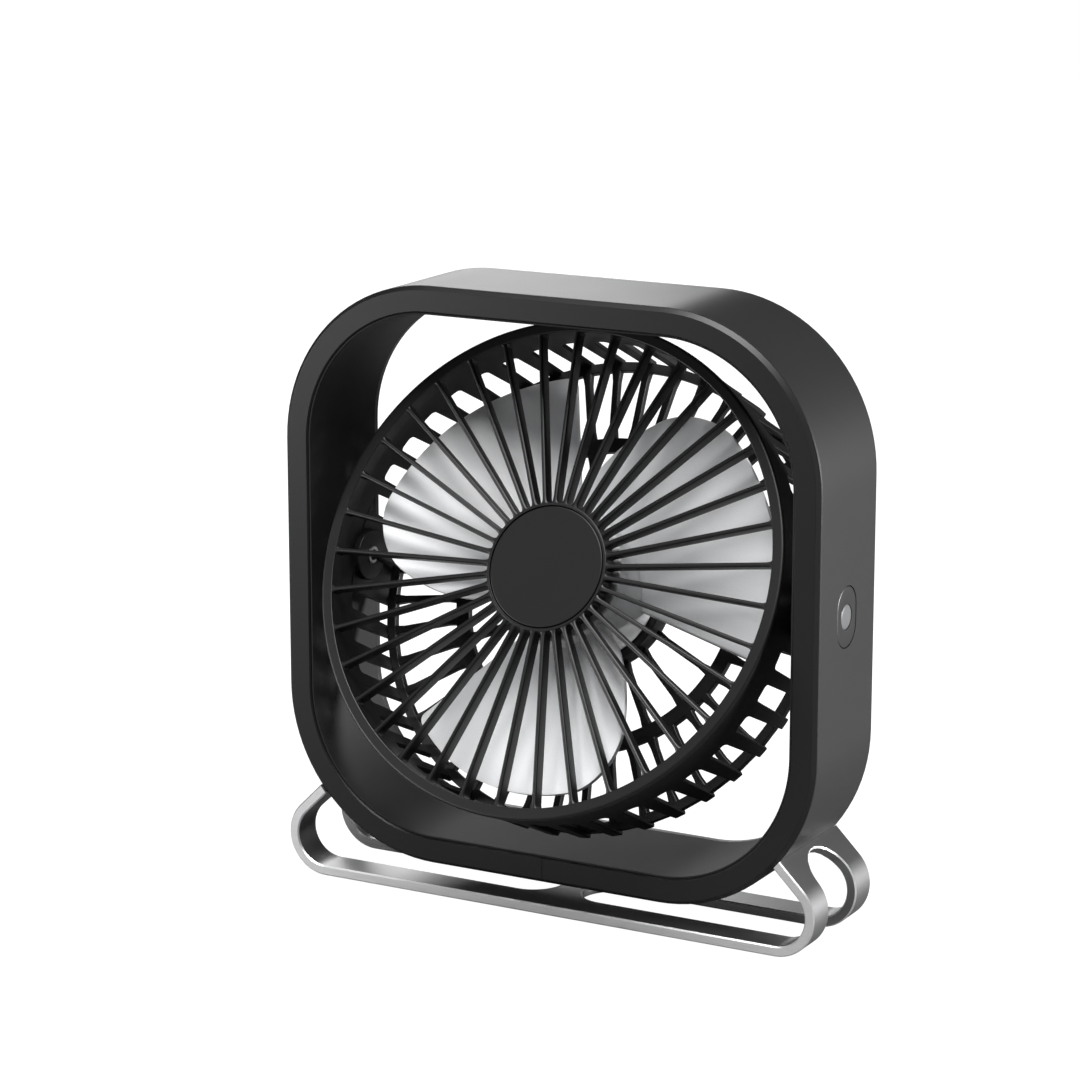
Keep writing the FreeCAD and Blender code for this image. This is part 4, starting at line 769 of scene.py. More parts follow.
def frame_stops(sizes):
    """Lines across each straight side: at its ends, round the screws and round the middle."""
    reach = sizes.size / 2 - sizes.corner
    screws = sizes.screw_spread / 2
    stops = [SCREW_LINES - screws, SCREW_LINES + screws, BUTTON_LINES, [-reach, reach]]
    return np.unique(np.round(np.concatenate(stops), 7))


def lines_on(values, mask, low, high):
    """Numbers of the masked lines whose values run from low to high."""
    return between(np.where(mask, values, np.inf), low, high)


def hole_edge(keep, centre, along, half_straight, radius):
    """A stage of pierce: points brought onto a flat face, and there onto a racetrack outline.

    keep is 0 for the direction square to the face, where a point takes the centre's value, and 1 elsewhere.
    """
    keep, centre = np.array(keep), np.array(centre)

    def stage(points):
        flat = points * keep + centre * (1 - keep)
        return onto_stadium(flat, centre, np.array(along), half_straight, radius)

    return stage


class DESKFAN_OT_frame_shell(bpy.types.Operator):
    """Outer and back wall: an L-shaped profile carried round a rounded square, pierced for what it holds"""

    bl_idname = "deskfan.frame_shell"
    bl_label = "Frame Shell"

    def execute(self, context):
        sizes, button = context.scene.desk_fan_frame, context.scene.desk_fan_button
        profile = self.profile(sizes)
        path, outwards = square_path(sizes.size / 2, sizes.corner, frame_stops(sizes))
        skin = Skin()
        numbers = skin.add(square_sweep(profile, path, outwards))
        holes = [self.button_hole(sizes, button, profile, path)]
        holes += self.back_holes(sizes, button, profile, path)
        leave = [faces_of(rows, cols) for rows, columns, _ in holes for cols in columns]
        skin.weave(numbers, close_rows=True, close_cols=True, leave=leave)
        for rows, (outer_cols, inner_cols), stages in holes:
            pierce(skin, numbers, rows, outer_cols, inner_cols, stages)
        place_piece("frame_shell_skin", skin, lift, "frame_shell", frame_black())
        return {"FINISHED"}

    @staticmethod
    def profile(sizes):
        """Section of the shell: (depth inside the outer face, Y), with a line wherever a hole needs one."""
        front, back = sizes.trim_thick - sizes.front, sizes.back
        inner_back = back - sizes.wall
        corners = [
            (0, front), (0, back), (sizes.rim, back), (sizes.rim, inner_back),
            (sizes.wall, inner_back), (sizes.wall, front),
        ]
        radii = np.array([0.12, sizes.back_round / MM, 0.15, 0.1, 0.3, 0.12]) * MM
        outer = np.stack([np.zeros_like(WALL_LINES), WALL_LINES], -1)
        rim = np.stack([DEPTH_LINES, np.full_like(DEPTH_LINES, back)], -1)
        inner_rim = np.stack([DEPTH_LINES[::-1], np.full_like(DEPTH_LINES, inner_back)], -1)
        inner = np.stack([np.full_like(WALL_LINES, sizes.wall), WALL_LINES[::-1]], -1)
        return rounded_loop(corners, radii, runs={0: outer, 1: rim, 3: inner_rim, 4: inner})

    @staticmethod
    def button_hole(sizes, button, profile, path):
        """Rows, columns and stages of the button's opening in the right side."""
        half = sizes.size / 2
        inner_back = sizes.back - sizes.wall
        on_outer = np.isclose(profile[:, 0], 0)
        on_inner = np.isclose(profile[:, 0], sizes.wall) & (profile[:, 1] < inner_back - 1 * MM)
        right = np.isclose(path[:, 0], half)
        rows = lines_on(path[:, 1], right, BUTTON_LINES[0], BUTTON_LINES[-1])
        ends = WALL_LINES[1], WALL_LINES[-2]
        columns = [lines_on(profile[:, 1], mask, *ends) for mask in (on_outer, on_inner)]
        outline = UP, button.straight / 2, button.half_width
        stages = [hole_edge((0, 1, 1), (x, 0.0, 0.0), *outline) for x in (half, half - sizes.wall)]
        return rows, columns, stages

    @staticmethod
    def back_holes(sizes, button, profile, path):
        """Rows, columns and stages of the four screw holes and the inlet's opening in the back wall."""
        half = sizes.size / 2
        faces = sizes.back, sizes.back - sizes.wall
        ends = DEPTH_LINES[0], DEPTH_LINES[-1]
        depths = [lines_on(profile[:, 0], np.isclose(profile[:, 1], y), *ends) for y in faces]
        bottom = np.isclose(path[:, 1], -half)
        top = np.isclose(path[:, 1], half)
        inset = half - sizes.screw_inset
        places = []
        for x in (-sizes.screw_spread / 2, sizes.screw_spread / 2):
            for mask, z in ((bottom, -inset), (top, inset)):
                rows = lines_on(path[:, 0], mask, x + SCREW_LINES[0], x + SCREW_LINES[-1])
                places.append((rows, x, z, 0.0, sizes.screw_head + sizes.fit_gap))
        low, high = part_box("power_inlet")
        inlet_z = (low.z + high.z) / 2 - CENTRE_HEIGHT
        inlet_straight = (button.inlet_width - button.inlet_height) / 2
        rows = lines_on(path[:, 0], bottom, BUTTON_LINES[2], BUTTON_LINES[-3])
        places.append((rows, 0.0, inlet_z, inlet_straight, button.inlet_height / 2 + button.gap))
        holes = []
        for rows, x, z, straight, radius in places:
            stages = [hole_edge((1, 0, 1), (x, y, z), SIDEWAYS, straight, radius) for y in faces]
            holes.append((rows, depths, stages))
        return holes


class DESKFAN_OT_front_trim(bpy.types.Operator):
    """Trim ring: a chamfered flat profile carried round the square, with a slit where its ends meet"""

    bl_idname = "deskfan.front_trim"
    bl_label = "Front Trim"

    def execute(self, context):
        sizes = context.scene.desk_fan_frame
        front, behind = -sizes.front, sizes.trim_thick - sizes.front
        inner = sizes.rim - sizes.lip_wall - sizes.fit_gap
        outer, slope = sizes.trim_chamfer, sizes.trim_inner_chamfer
        corners = [(0, front + outer), (0, behind), (inner, behind), (inner, front + slope)]
        corners += [(inner - slope, front), (outer, front)]
        profile = rounded_loop(corners, np.array([0.2, 0.06, 0.06, 0.08, 0.08, 0.12]) * MM, steps=3)
        seam = sizes.trim_seam / 2
        stops = np.unique(np.concatenate([frame_stops(sizes), [-seam, seam]]))
        stops = stops[np.abs(stops) > seam / 2]
        path, outwards = square_path(sizes.size / 2, sizes.corner, stops)
        first = int(np.flatnonzero(np.isclose(path[:, 0], seam) & (path[:, 1] < 0))[0])
        path, outwards = np.roll(path, -first, axis=0), np.roll(outwards, -first, axis=0)
        skin = Skin()
        numbers = skin.grid(square_sweep(profile, path, outwards), close_cols=True)
        skin.cap(numbers[0])
        skin.cap(numbers[-1])
        place_piece("front_trim", skin, lift, "front_bezel", trim_black())
        return {"FINISHED"}


class DESKFAN_OT_frame_liner(bpy.types.Operator):
    """Wall of the opening, with a thin lip that shows inside the trim: one profile round the square"""

    bl_idname = "deskfan.frame_liner"
    bl_label = "Frame Liner"

    def execute(self, context):
        sizes = context.scene.desk_fan_frame
        rim, lip = sizes.rim, sizes.rim - sizes.lip_wall
        shoulder = sizes.trim_thick - sizes.front
        back = sizes.back - sizes.wall
        outer = rim - sizes.liner_wall
        corners = [(rim, sizes.lip_setback - sizes.front), (rim, back), (outer, back), (outer, shoulder)]
        corners += [(lip, shoulder), (lip, sizes.lip_setback - sizes.front)]
        profile = rounded_loop(corners, np.array([0.15, 0.12, 0.1, 0.1, 0.06, 0.12]) * MM)
        path, outwards = square_path(sizes.size / 2, sizes.corner, frame_stops(sizes), arc_steps=32)
        skin = Skin()
        skin.grid(square_sweep(profile, path, outwards), close_rows=True, close_cols=True)
        place_piece("frame_liner_skin", skin, lift, "frame_liner", liner_black())
        return {"FINISHED"}


class DESKFAN_OT_frame_screws(bpy.types.Operator):
    """Screw heads in the back: a round head whose top sinks where either bar of a cross passes"""

    bl_idname = "deskfan.frame_screws"
    bl_label = "Frame Screws"
    recess = 0.45 * MM
    crown = 0.12 * MM
    head_depth = 0.9 * MM
    shank = 1.0 * MM

    def execute(self, context):
        sizes = context.scene.desk_fan_frame
        low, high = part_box("frame_screws")
        inset = sizes.size / 2 - sizes.screw_inset
        skin = Skin()
        radii = np.array([0.0, 0.15, 0.3, 0.45, 0.6, 0.8, 1.0, 1.2, 1.4, 1.6]) / 1.8 * sizes.screw_head
        turns = TAU * np.arange(48) / 48
        across = radii[:, None] * np.cos(turns)
        upright = radii[:, None] * np.sin(turns)
        bar = [self.bar(a, b) for a, b in ((across, upright), (upright, across))]
        depth = self.recess * np.maximum(*bar)
        crown = self.crown * (radii[:, None] / sizes.screw_head) ** 2
        face = np.stack([across, high.y - crown - depth, upright], -1)
        head, under = sizes.screw_head, high.y - self.head_depth
        rim = np.array([
            [head - 0.08 * MM, high.y - 0.14 * MM], [head, high.y - 0.25 * MM], [head, under],
            [self.shank, under], [self.shank, low.y], [0, low.y],
        ])
        level = np.broadcast_to(rim[:, 1:], (len(rim), len(turns)))
        side = np.stack([rim[:, :1] * np.cos(turns), level, rim[:, :1] * np.sin(turns)], -1)
        screw = np.concatenate([face, side])
        for x in (-sizes.screw_spread / 2, sizes.screw_spread / 2):
            for z in (-inset, inset):
                skin.grid(screw + [x, 0, z], close_cols=True)
        place_piece("frame_screws_skin", skin, lift, "frame_screws", plain_steel())
        return {"FINISHED"}

    @staticmethod
    def bar(along, across, half_length=1.05 * MM, half_width=0.32 * MM, slope=0.12 * MM):
        """1 inside a bar of the cross and 0 outside it, with steep sides."""
        inside = np.clip((half_length - np.abs(along)) / slope, 0, 1)
        return inside * np.clip((half_width - np.abs(across)) / slope, 0, 1)


# ---- button and inlet ----
class DESKFAN_OT_power_button(bpy.types.Operator):
    """Button cap: racetrack rings from the light guide's hole out over the face, the side and the flange"""

    bl_idname = "deskfan.power_button"
    bl_label = "Power Button"

    def execute(self, context):
        sizes, button = context.scene.desk_fan_frame, context.scene.desk_fan_button
        face = sizes.size / 2
        inner_face = face - sizes.wall
        flange_low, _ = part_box("power_button")
        radius = button.half_width - button.gap
        hole = button.lens + 0.02 * MM
        straight = button.straight / 2
        flange, flange_top = radius + button.gap + button.flange, inner_face - 0.1 * MM
        top = face - 0.02 * MM
        steps = [
            (hole, 0.0, flange_low.x),
            (hole, 0.0, face - 0.2 * MM),
            (hole + 0.12 * MM, 0.0, face - 0.05 * MM),
            (hole + 0.4 * MM, 0.1 * straight, top),
            (0.75 * radius, 0.5 * straight, top),
            (radius - 0.35 * MM, straight, top),
            (radius - 0.2 * MM, straight, face - 0.04 * MM),
            (radius - 0.06 * MM, straight, face - 0.12 * MM),
            (radius, straight, face - 0.28 * MM),
            (radius, straight, flange_top),
            (flange, straight, flange_top),
            (flange, straight, flange_low.x),
        ]
        radii, straights, places = np.array(steps).T
        rings = stadium_ring(straights, radii, places)
        skin = Skin()
        skin.grid(rings[..., [2, 0, 1]], close_rows=True, close_cols=True)
        place_piece("power_button_cap", skin, lift, "power_button", frame_black())
        guide = np.array([
            (0, face - 0.01 * MM), (1.5 * MM, face - 0.03 * MM), (2.6 * MM, face - 0.09 * MM),
            (button.lens - 0.25 * MM, face - 0.16 * MM), (button.lens, face - 0.3 * MM),
            (button.lens, flange_top), (0, flange_top),
        ])
        skin = Skin()
        skin.grid(side_lathe(guide, 48), close_rows=True)
        place_piece("button_light_guide", skin, lift, "button_lens", lens_plastic())
        return {"FINISHED"}


class DESKFAN_OT_power_inlet(bpy.types.Operator):
    """Inlet sleeve: racetrack rings out of a thin wall, and a rounded tongue inside it"""

    bl_idname = "deskfan.power_inlet"
    bl_label = "Power Inlet"

    def execute(self, context):
        button = context.scene.desk_fan_button
        low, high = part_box("power_inlet")
        middle = np.array([0.0, 0.0, (low.z + high.z) / 2])
        straight = (button.inlet_width - button.inlet_height) / 2
        radius, wall, lip = button.inlet_height / 2, 0.3 * MM, 0.06 * MM
        floor, seat, tip = low.y + 1.0 * MM, low.y + 0.8 * MM, high.y - 0.9 * MM
        thin, wide = 0.35 * MM, 2.95 * MM
        sleeve = [
            (0.0, 0.6 * straight, low.y), (radius, straight, low.y), (radius, straight, high.y - lip),
            (radius - lip, straight, high.y), (radius - wall + lip, straight, high.y),
            (radius - wall, straight, high.y - lip), (radius - wall, straight, floor),
            (0.0, 0.6 * straight, floor),
        ]
        tongue = [
            (0.0, wide - thin, seat), (thin, wide, seat), (thin, wide, tip - 0.15 * MM),
            (0.22 * MM, wide, tip), (0.0, wide - thin, tip),
        ]
        skin = Skin()
        for finish, steps in enumerate((sleeve, tongue)):
            radii, straights, places = np.array(steps).T
            rings = stadium_ring(straights, radii, places)
            skin.grid(rings[..., [1, 2, 0]] + middle, close_cols=True, finish=finish)
        place_piece("power_inlet_sleeve", skin, as_it_is, "power_inlet", inlet_steel(), chip_black())
        return {"FINISHED"}


# ---- stand ----
class StripPlan:
    """The right half of the stand laid flat: distance along the strip, Y, and depth in its thickness."""

    def __init__(self, sizes, frame_sizes):
        self.sizes = sizes
        self.bend = np.array([sizes.spread / 2 - sizes.bend, sizes.underside + sizes.bend])
        self.turn = math.pi - sizes.lean
        self.middle = sizes.bend - sizes.thick / 2
        self.bend_end = self.bend[0] + self.middle * self.turn
        away = math.sin(sizes.lean), math.cos(sizes.lean)
        self.outwards = np.array(away)
        self.along = np.array([-math.cos(sizes.lean), math.sin(sizes.lean)])
        corner = frame_sizes.size / 2 - frame_sizes.corner
        self.corner = np.array([corner, CENTRE_HEIGHT - corner])
        self.meet = frame_sizes.corner + frame_sizes.fit_gap

    def reach(self, across):
        """Distance along the strip at which a layer of the arm meets the frame's rounded corner."""
        start = self.bend + (self.sizes.bend - across)[..., None] * self.outwards
        along = (self.corner - start) @ self.along
        aside = (self.corner - start) @ self.outwards
        return self.bend_end + along - np.sqrt(self.meet ** 2 - aside ** 2)

    def place(self, along, y, across):
        """Flat coordinates bent to shape: level on the desk, round the bend, then straight up the arm."""
        rail = np.minimum(along, self.bend[0])
        angle = np.clip((along - self.bend[0]) / self.middle, 0, self.turn)
        arm = np.maximum(along - self.bend_end, 0)
        radius = self.sizes.bend - across
        x = rail + radius * np.sin(angle) + arm * self.along[0]
        z = self.bend[1] - radius * np.cos(angle) + arm * self.along[1]
        return np.stack([x, np.broadcast_to(y, x.shape), z], -1)


class DESKFAN_OT_stand(bpy.types.Operator):
    """Bent strip: rings between a racetrack slot and the strip's outline, laid flat and then bent"""

    bl_idname = "deskfan.stand"
    bl_label = "Stand"

    def execute(self, context):
        sizes = context.scene.desk_fan_stand
        plan = StripPlan(sizes, context.scene.desk_fan_frame)
        half, slot = sizes.width / 2, sizes.slot_width / 2
        near = sizes.bridge / 2 + slot
        far = float(plan.reach(np.array(0.0))) - sizes.slot_to_frame - slot
        along, across_y, edge_along, edge_y, at_end = self.outline(plan, half, slot, near, far)
        cut, thick = sizes.chamfer, sizes.thick
        layers = [
            (0.0, 0.0, cut), (0.0, 0.5, 0.0), (0.0, 1.0, cut), (cut, 1.0, 0.0),
            (thick - cut, 1.0, 0.0), (thick, 1.0, cut), (thick, 0.5, 0.0), (thick, 0.0, cut),
            (thick - cut, 0.0, 0.0), (cut, 0.0, 0.0),
        ]
        rings = []
        for depth, towards_edge, inset in layers:
            depths = np.full_like(along, depth)
            end = np.where(at_end, plan.reach(depths), edge_along)
            outer_y = np.clip(edge_y, inset - half, half - inset)
            if towards_edge == 0.0:
                widened = (slot + inset) / slot
                centre = np.clip(along, near, far)
                flat_along = centre + (along - centre) * widened
                flat_y = across_y * widened
            else:
                flat_along = along + (end - along) * towards_edge
                flat_y = across_y + (outer_y - across_y) * towards_edge
            rings.append(plan.place(flat_along, flat_y, depths))
        rings = np.stack(rings)
        # Faces that take the near-white edge finish as a painted highlight: the chamfers round the outline and the
        # slot, and the outline's edge face.
        painted_highlight_layers = [0, 0, 1, 1, 1, 0, 0, 1, 0, 1]
        finish = np.repeat(painted_highlight_layers, len(along)).reshape(rings.shape[:2])
        on_middle = np.isclose(edge_along, 0.0)
        joined = np.flatnonzero(on_middle & np.roll(on_middle, -1))
        leave = [np.ix_(np.array([2, 3, 4]), joined)]
        skin = Skin()
        for side in (1, -1):
            skin.grid(rings * [side, 1, 1], close_rows=True, close_cols=True, leave=leave, finish=finish)
        metals = strip_metal(), strip_edge()
        place_piece("stand_strip", skin, as_it_is, "stand", *metals, sharp=math.radians(25))
        return {"FINISHED"}

    @staticmethod
    def outline(plan, half, slot, near, far):
        """Points round the slot, and on the strip's outline the point that each one is joined to.

        Beside the straight sides a point is joined straight across. At a round end it is joined along the
        line from the end's centre, with one line through each corner of the outline.
        """
        corner_turn = math.atan2(half, near)
        end = plan.reach(np.array(0.0))
        far_turn = math.atan2(half, float(end) - far)
        bend = np.linspace(plan.bend[0], plan.bend_end, 46)
        straight = np.unique(np.concatenate([np.linspace(near, plan.bend[0], 8), bend, [far]]))
        straight = straight[straight <= far + 1e-9]
        back_end = np.concatenate([
            np.linspace(math.pi / 2, math.pi - corner_turn, 9)[1:],
            np.linspace(math.pi - corner_turn, math.pi + corner_turn, 15)[1:],
            np.linspace(math.pi + corner_turn, 1.5 * math.pi, 9)[1:-1],
        ])
        front_end = np.concatenate([
            np.linspace(-math.pi / 2, -far_turn, 14)[1:],
            np.linspace(-far_turn, far_turn, 8)[1:],
            np.linspace(far_turn, math.pi / 2, 14)[1:-1],
        ])
        parts = []
        for turns, centre, wall in ((back_end, near, 0.0), (front_end, far, float(end))):
            direction = np.stack([np.cos(turns), np.sin(turns)], -1)
            to_side = half / np.maximum(np.abs(direction[:, 1]), 1e-9)
            to_wall = abs(wall - centre) / np.maximum(np.abs(direction[:, 0]), 1e-9)
            hits_wall = to_wall <= to_side * (1 + 1e-9)
            out = np.array([centre, 0.0]) + direction * np.minimum(to_side, to_wall)[:, None]
            on_side = np.isclose(np.abs(out[:, 1]), half)
            out[:, 1] = np.where(on_side, np.sign(out[:, 1]) * half, out[:, 1])
            out[:, 0] = np.where(hits_wall, wall, out[:, 0])
            ring = np.array([centre, 0.0]) + slot * direction
            parts.append((ring, out, hits_wall))
        lower = np.stack([straight, np.full_like(straight, -slot)], -1)
        upper = lower[::-1] * [1, -1]
        none = np.zeros(len(straight), bool)
        (back_ring, back_out, _), (front_ring, front_out, front_wall) = parts
        ring = np.concatenate([lower, front_ring, upper, back_ring])
        out = np.concatenate([lower * [1, half / slot], front_out, upper * [1, half / slot], back_out])
        at_end = np.concatenate([none, front_wall, none, np.zeros(len(back_ring), bool)])
        return ring[:, 0], ring[:, 1], out[:, 0], out[:, 1], at_end


# ---- grille ----
def add_bars(skin, points, finish=0):
    """Closed bars: each is a stack of loops with both of its ends capped."""
    for bar in points:
        numbers = skin.grid(bar, close_cols=True, finish=finish)
        skin.cap(numbers[0])
        skin.cap(numbers[-1])


class DESKFAN_OT_front_grille(bpy.types.Operator):
    """Ring and hub turned from profiles, and round-nosed ribs that widen where they run into them"""

    bl_idname = "deskfan.front_grille"
    bl_label = "Front Grille"

    def execute(self, context):
        sizes = context.scene.desk_fan_head
        face, back = sizes.face, sizes.face - sizes.ring_depth
        neck = sizes.cage - 1.3 * MM
        shoulder = face - sizes.flange
        hub_inside, hub_back = sizes.hub - sizes.hub_wall, face - sizes.hub_depth
        cap_back = face - sizes.cap_thick
        floor = face - 2.6 * MM
        step = hub_inside + sizes.cap_groove
        skin = Skin()
        ring = [(sizes.ring, shoulder), (sizes.ring, face), (sizes.ring_open, face)]
        ring += [(sizes.ring_open, back), (neck, back), (neck, shoulder)]
        add_turned(skin, ring, [0.15, 0.7, 0.35, 0.2, 0.15, 0.1], 240)
        hub = [(0, floor), (hub_inside, floor), (hub_inside, hub_back), (sizes.hub, hub_back)]
        hub += [(sizes.hub, face), (step, face), (step, cap_back), (0, cap_back)]
        add_turned(skin, hub, [0, 0.2, 0.15, 0.15, 0.3, 0.12, 0.1, 0], 120)
        self.add_ribs(skin, sizes)
        place_piece("front_grille_skin", skin, tilt, "front_grille", grille_black())
        skin = Skin()
        cap = [(0, cap_back), (hub_inside, cap_back), (hub_inside, face), (0, face)]
        add_turned(skin, cap, [0, 0.1, 0.3, 0], 120)
        place_piece("hub_cap_skin", skin, tilt, "hub_cap", grille_black())
        return {"FINISHED"}

    @staticmethod
    def add_ribs(skin, sizes):
        """Ribs with a half-round nose, wider by a falling exponential of the distance to each end."""
        stations = np.concatenate([
            sizes.hub + np.array([-0.6, -0.02, 0.2, 0.5, 0.9, 1.4, 2.2]) * MM,
            np.linspace(sizes.hub + 5 * MM, sizes.ring_open - 5 * MM, 6),
            sizes.ring_open - np.array([2.2, 1.4, 0.9, 0.5, 0.2, -0.02, -0.6]) * MM,
        ])
        from_end = np.minimum(stations - sizes.hub, sizes.ring_open - stations)
        flare = 0.55 * MM * np.exp(-np.maximum(from_end, 0) / (0.5 * MM))
        half = sizes.rib_width / 2 + flare
        front = sizes.face - 0.1 * MM
        back = front - sizes.rib_depth
        nose = np.linspace(0, math.pi, 9)
        across = np.concatenate([np.cos(nose), [-0.85, 0.85]])
        ahead = np.concatenate([front - 0.45 * MM * (1 - np.sin(nose)), [back, back]])
        loops = np.stack([half[:, None] * across, np.broadcast_to(ahead, (len(half), len(ahead)))], -1)
        turns = -math.pi / 2 + TAU * np.arange(sizes.ribs) / sizes.ribs
        add_bars(skin, bars(loops, stations, turns))


# ---- cage ----
class DESKFAN_OT_rear_cage(bpy.types.Operator):
    """Cage: a turned band, struts whose sections follow the windows between them, and radial bars"""

    bl_idname = "deskfan.rear_cage"
    bl_label = "Rear Cage"

    def execute(self, context):
        sizes = context.scene.desk_fan_head
        skin = Skin()
        inner = sizes.cage - sizes.cage_wall
        band_front = sizes.face - sizes.flange - sizes.groove
        window = sizes.window_front
        band = [(sizes.cage, window), (sizes.cage, band_front), (inner, band_front), (inner, window)]
        add_turned(skin, band, [0.02, 0.3, 0.2, 0.02], 264)
        self.add_struts(skin, sizes, inner)
        self.add_lattice(skin, sizes)
        self.add_pads(skin, sizes, inner - 2.0 * MM)
        place_piece("rear_cage_skin", skin, tilt, "rear_cage", grille_black())
        self.motor_cover(sizes)
        return {"FINISHED"}

    @staticmethod
    def add_pads(skin, sizes, root):
        """Round pads on both sides, turned about the tilt axis, with a hole for the pivot pin."""
        pad = rounded_loop(
            [(sizes.pin, root), (sizes.pad, root), (sizes.pad, sizes.pad_out), (sizes.pin, sizes.pad_out)],
            np.array([0.1, 0.4, 0.4, 0.1]) * MM,
        )
        for side in (1, -1):
            skin.grid(side_lathe(pad * [1, side], 72), close_rows=True, close_cols=True)

    @staticmethod
    def motor_cover(sizes):
        """Disc that closes the motor's seat, with a raised border and a skirt."""
        border = sizes.rear_hub - sizes.rear_hub_wall - 0.05 * MM
        inside, skirt = border - 2.0 * MM, border - 1.0 * MM
        back = -sizes.cage_back
        sunk, front, skirt_end = back + 0.4 * MM, back + 1.4 * MM, back + 2.4 * MM
        skin = Skin()
        cover = [(0, front), (0, sunk), (inside, sunk), (inside, back), (border, back)]
        cover += [(border, skirt_end), (skirt, skirt_end), (skirt, front)]
        add_turned(skin, cover, [0, 0, 0.2, 0.2, 0.3, 0.1, 0.1, 0.1], 96)
        place_piece("motor_cover_skin", skin, tilt, "motor_cover", grille_black())

    @staticmethod
    def add_struts(skin, sizes, inner):
        """Struts from the lattice up into the band. A strut is what is left between two windows.

        Its half width is half the pitch less half a window, which narrows towards the front, plus a quarter
        circle where a window's front corners are rounded. Beside the pivots two windows are left closed.
        """
        pitch = TAU / sizes.struts
        corner = sizes.window_corner
        back = -sizes.cage_back
        start = sizes.window_front - corner
        rounding = sizes.window_front - corner * (1 - np.sin(np.linspace(0, math.pi / 2, 6)))
        low_edge = back + np.array([0.0, 0.25]) * MM
        last = sizes.window_front + 0.4 * MM
        ahead = np.concatenate([low_edge, [-6 * MM, start - 0.02 * MM], rounding, [last]])
        share_back = np.clip((sizes.window_front - ahead) / (sizes.window_front - back), 0, 1)
        window = sizes.window_width + (sizes.window_back - sizes.window_width) * share_back
        into_corner = np.clip(ahead - start, 0, corner)
        fillet = corner - np.sqrt(np.maximum(corner ** 2 - into_corner ** 2, 0))
        radius = sizes.cage - sizes.cage_wall / 2
        half = pitch * radius / 2 - window / 2 + np.minimum(fillet, corner * 0.98)
        outer = np.where(ahead < start, sizes.cage - sizes.strut_step, sizes.cage - 0.01 * MM)
        outer[-1] = sizes.cage - 0.3 * MM
        bevel = np.array([0.35] + [0.0] * (len(ahead) - 1)) * MM
        angles = -math.pi / 2 + pitch * np.arange(sizes.struts)
        beside = np.abs((angles + math.pi / 2) % math.pi - math.pi / 2) < 1.5 * pitch
        middles = [angle for angle, closed in zip(angles, beside) if not closed]
        groups = [(np.array(middles), 0.0), (np.array([0.0, math.pi]), pitch * radius)]
        for turns, widened in groups:
            section = []
            for each_half, each_outer, each_bevel in zip(half + widened, outer, bevel):
                steps = np.linspace(-1, 1, 25 if widened else 5)[1:-1] * (each_half - 0.6 * MM)
                outside = np.stack([-steps, np.full_like(steps, each_outer - each_bevel)], -1)
                inside = np.stack([steps, np.full_like(steps, inner)], -1)
                rim = each_outer - each_bevel
                corners = [(-each_half, inner), (each_half, inner), (each_half, rim), (-each_half, rim)]
                radii = np.array([0.2, 0.2, 0.35, 0.35]) * MM
                section.append(rounded_loop(corners, radii, 3, {0: inside, 2: outside}))
            section = np.stack(section)
            for turn in turns:
                bearing = turn + section[..., 0] / radius
                x, z = section[..., 1] * np.cos(bearing), section[..., 1] * np.sin(bearing)
                y = np.broadcast_to(-ahead[:, None], x.shape)
                add_bars(skin, [np.stack([x, y, z], -1)])

    @staticmethod
    def add_lattice(skin, sizes):
        """Rear lattice: a ring straight between struts, a middle ring, the motor's seat and bars."""
        back = -sizes.cage_back
        front = back + sizes.lattice
        inner_edge = sizes.edge - sizes.edge_width
        edge = rounded_loop(
            [(inner_edge, back), (sizes.edge, back), (sizes.edge, front), (inner_edge, front)],
            np.array([0.35, 0.35, 0.1, 0.3]) * MM,
        )
        fine = 8
        points = lathe(edge, sizes.struts * fine, -math.pi / 2)
        part_way = (np.arange(sizes.struts * fine) % fine) / fine
        from_corner = part_way * TAU / sizes.struts - math.pi / sizes.struts
        straight = math.cos(math.pi / sizes.struts) / np.cos(from_corner)
        outer = edge[:, 0] > inner_edge + sizes.edge_width / 2
        scale = np.where(outer[None, :], straight[:, None], 1.0)
        points = points * np.stack([scale, np.ones_like(scale), scale], -1)
        skin.grid(points, close_rows=True, close_cols=True)
        mid_inner = sizes.middle - sizes.middle_width
        middle = [(mid_inner, back), (sizes.middle, back), (sizes.middle, front), (mid_inner, front)]
        add_turned(skin, middle, [0.35, 0.35, 0.3, 0.3], 176)
        hole, seat = 4.65 * MM, sizes.rear_hub - sizes.rear_hub_wall
        floor = -sizes.rear_hub_front - 1.6 * MM
        hub = [(hole, floor), (seat, floor), (seat, back), (sizes.rear_hub, back)]
        hub += [(sizes.rear_hub, -sizes.rear_hub_front), (hole, -sizes.rear_hub_front)]
        add_turned(skin, hub, [0.1, 0.1, 0.15, 0.35, 0.3, 0.1], 120)
        half = sizes.lattice_rib / 2
        lip = 0.02 * MM
        loop = rounded_loop(
            [(-half, back + lip), (half, back + lip), (half, front - lip), (-half, front - lip)],
            np.array([0.4, 0.4, 0.3, 0.3]) * MM, steps=3,
        )
        sunk = 0.5 * MM
        spans = [(inner_edge + sunk, sizes.middle - sunk, sizes.struts)]
        spans.append((mid_inner + sunk, sizes.rear_hub - sunk, sizes.struts // 2))
        for outer_end, inner_end, number in spans:
            stations = np.linspace(inner_end, outer_end, 7)
            from_end = np.minimum(stations - inner_end, outer_end - stations)
            flare = 1 + 0.5 * np.exp(-from_end / (0.8 * MM))
            ahead = np.tile(loop[:, 1], (len(stations), 1))
            loops = np.stack([loop[None, :, 0] * flare[:, None], ahead], -1)
            turns = -math.pi / 2 + TAU * np.arange(number) / number
            add_bars(skin, bars(loops, stations, turns))


